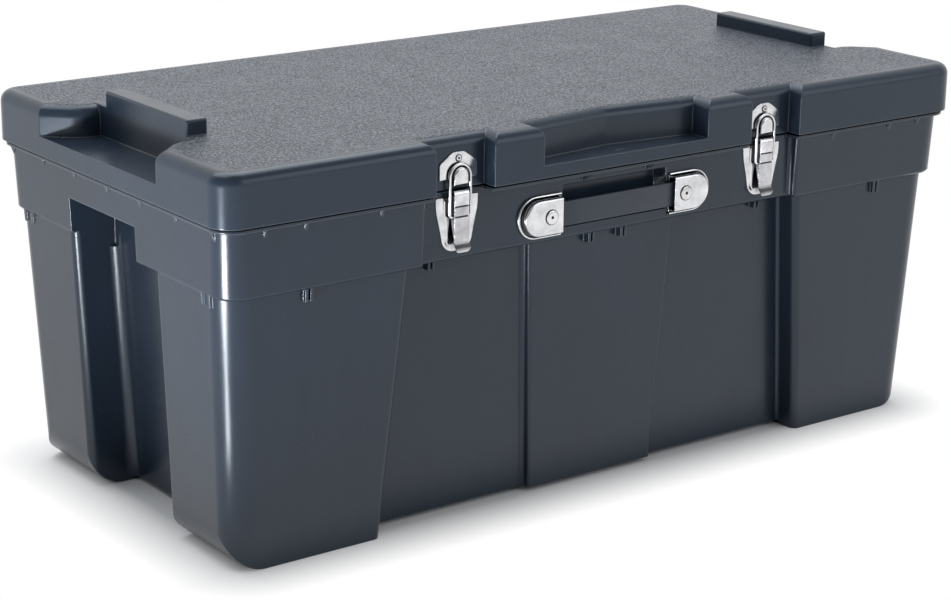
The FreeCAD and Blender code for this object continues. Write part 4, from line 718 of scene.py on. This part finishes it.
# Studio: a pale floor that goes over to white away from the trunk, and soft boxes above and in front of
# it. Two strips that lie on the floor at the left draw the bright lines down the upright edges.
floor_half, floor_drop = 30.0, 0.0005
ground = bmesh.new()
bmesh.ops.create_grid(ground, x_segments=1, y_segments=1, size=floor_half)
bmesh.ops.translate(ground, verts=ground.verts, vec=(0.0, 0.0, -floor_drop))
floor_mesh = bpy.data.meshes.new("floor")
ground.to_mesh(floor_mesh)
ground.free()
floor = bpy.data.objects.new("floor", floor_mesh)
bpy.context.scene.collection.objects.link(floor)
floor_look, floor_tree, floor_shader, floor_place = new_look("pale_floor")
floor_shader.inputs["Base Color"].default_value = (0.90, 0.90, 0.90, 1.0)
floor_shader.inputs["Roughness"].default_value = 0.9
floor_shader.inputs["Specular IOR Level"].default_value = 0.1
floor_glow = add_node(floor_tree, "Emission", strength=1.0).outputs["Emission"]
floor_axes = add_node(floor_tree, "SeparateXYZ", vector=floor_place).outputs
floor_gap = []
for axis, half in (("X", 0.42), ("Y", 0.18)):
    past = fit(floor_tree, number(floor_tree, "ABSOLUTE", floor_axes[axis]), half, half + 1.0)
    floor_gap.append(number(floor_tree, "POWER", past, 2.0))
floor_away = number(floor_tree, "SQRT", number(floor_tree, "ADD", floor_gap[0], floor_gap[1]))
floor_fade = fit(floor_tree, floor_away, 0.0, 0.08)
floor_ray = add_node(floor_tree, "LightPath").outputs
floor_seen = number(floor_tree, "MAXIMUM", floor_ray["Is Camera Ray"], floor_ray["Is Glossy Ray"])
floor_seen = number(floor_tree, "MAXIMUM", floor_seen, floor_ray["Is Transmission Ray"])
floor_share = number(floor_tree, "MULTIPLY", floor_fade, floor_seen)
floor_mix = add_node(floor_tree, "MixShader", fac=floor_share)
floor_tree.links.new(floor_shader.outputs["BSDF"], floor_mix.inputs[1])
floor_tree.links.new(floor_glow, floor_mix.inputs[2])
floor_tree.links.new(floor_mix.outputs["Shader"], floor_tree.nodes["Material Output"].inputs["Surface"])
floor_mesh.materials.append(floor_look)

world = bpy.data.worlds.new("studio")
bpy.context.scene.world = world
world.use_nodes = True
sky = world.node_tree
sky.nodes.clear()
sky_ray = add_node(sky, "LightPath").outputs
sky_shown = number(sky, "MAXIMUM", sky_ray["Is Camera Ray"], sky_ray["Is Glossy Ray"])
sky_shown = number(sky, "MAXIMUM", sky_shown, sky_ray["Is Transmission Ray"])
sky_mix = add_node(sky, "MixShader", fac=sky_shown)
sky_lit = add_node(sky, "Background", color=(0.94, 0.97, 1.0, 1.0), strength=0.37)
backdrop_way = (0.594, 0.804, 0.0)
sky_side = add_node(sky, "VectorMath", operation="DOT_PRODUCT")
sky.links.new(add_node(sky, "TexCoord").outputs["Generated"], sky_side.inputs[0])
sky_side.inputs[1].default_value = backdrop_way
sky_backdrop = fit(sky, sky_side.outputs["Value"], -0.1, 0.3, 0.3, 1.0)
sky_bright = number(sky, "MAXIMUM", sky_ray["Is Camera Ray"], sky_backdrop)
sky_white = add_node(sky, "Background", color=(1.0, 1.0, 1.0, 1.0), strength=sky_bright)
sky.links.new(sky_lit.outputs["Background"], sky_mix.inputs[1])
sky.links.new(sky_white.outputs["Background"], sky_mix.inputs[2])
sky.links.new(sky_mix.outputs["Shader"], sky.nodes.new("ShaderNodeOutputWorld").inputs["Surface"])


def soft_box(name, place, target, width, height, watts):
    """An area lamp aimed at a point, which the camera doesn't see."""
    lamp = bpy.data.lights.new(name, "AREA")
    lamp.shape = "RECTANGLE"
    lamp.size = width
    lamp.size_y = height
    lamp.energy = watts
    lamp.color = (0.94, 0.97, 1.0)
    box = bpy.data.objects.new(name, lamp)
    box.location = place
    box.rotation_euler = (Vector(target) - Vector(place)).to_track_quat("-Z", "Y").to_euler()
    box.visible_camera = False
    bpy.context.scene.collection.objects.link(box)
    return box


soft_box("overhead_box", (0.0, 0.7, 2.6), (0.0, 0.0, 0.3), 3.2, 2.2, 60)
soft_box("front_box", (1.8, -3.0, 1.6), (0.1, 0.0, 0.2), 2.6, 2.0, 24)
strip_start, strip_way, strip_high = Vector((-0.45, -0.20)), Vector((-0.965, -0.264)), 0.02
for name, near, far, wide, watts in (
    ("left_near_strip", 0.20, 0.60, 0.07, 2.2),
    ("left_far_strip", 0.60, 0.86, 0.20, 18),
):
    x, y = strip_start + strip_way * (near + far) / 2
    strip = soft_box(name, (x, y, strip_high), (x, y, 1.0), far - near, wide, watts)
    strip.rotation_euler = (math.pi, 0.0, math.atan2(strip_way.y, strip_way.x))

# Camera where the photograph was taken from: its place and turn were fitted to the trunk's edges.
# The long lens keeps the near corner from looming.
eye = Vector((-1.5293, -2.0485, 0.9232))
yaw, pitch, roll = math.radians(36.425), math.radians(16.869), math.radians(-0.65)
ahead = Vector((math.sin(yaw) * math.cos(pitch), math.cos(yaw) * math.cos(pitch), -math.sin(pitch)))
level = Vector((math.cos(yaw), -math.sin(yaw), 0.0))
below = ahead.cross(level)
rightward = math.cos(roll) * level + math.sin(roll) * below
upward = math.sin(roll) * level - math.cos(roll) * below
lens = bpy.data.cameras.new("camera")
lens.sensor_fit = "HORIZONTAL"
lens.sensor_width = 36.0
lens.lens = 92.05
camera = bpy.data.objects.new("camera", lens)
turn = Matrix((rightward, upward, -ahead)).transposed().to_4x4()
camera.matrix_world = Matrix.Translation(eye) @ turn
bpy.context.scene.collection.objects.link(camera)
bpy.context.scene.camera = camera
bpy.context.scene.view_settings.view_transform = "Standard"
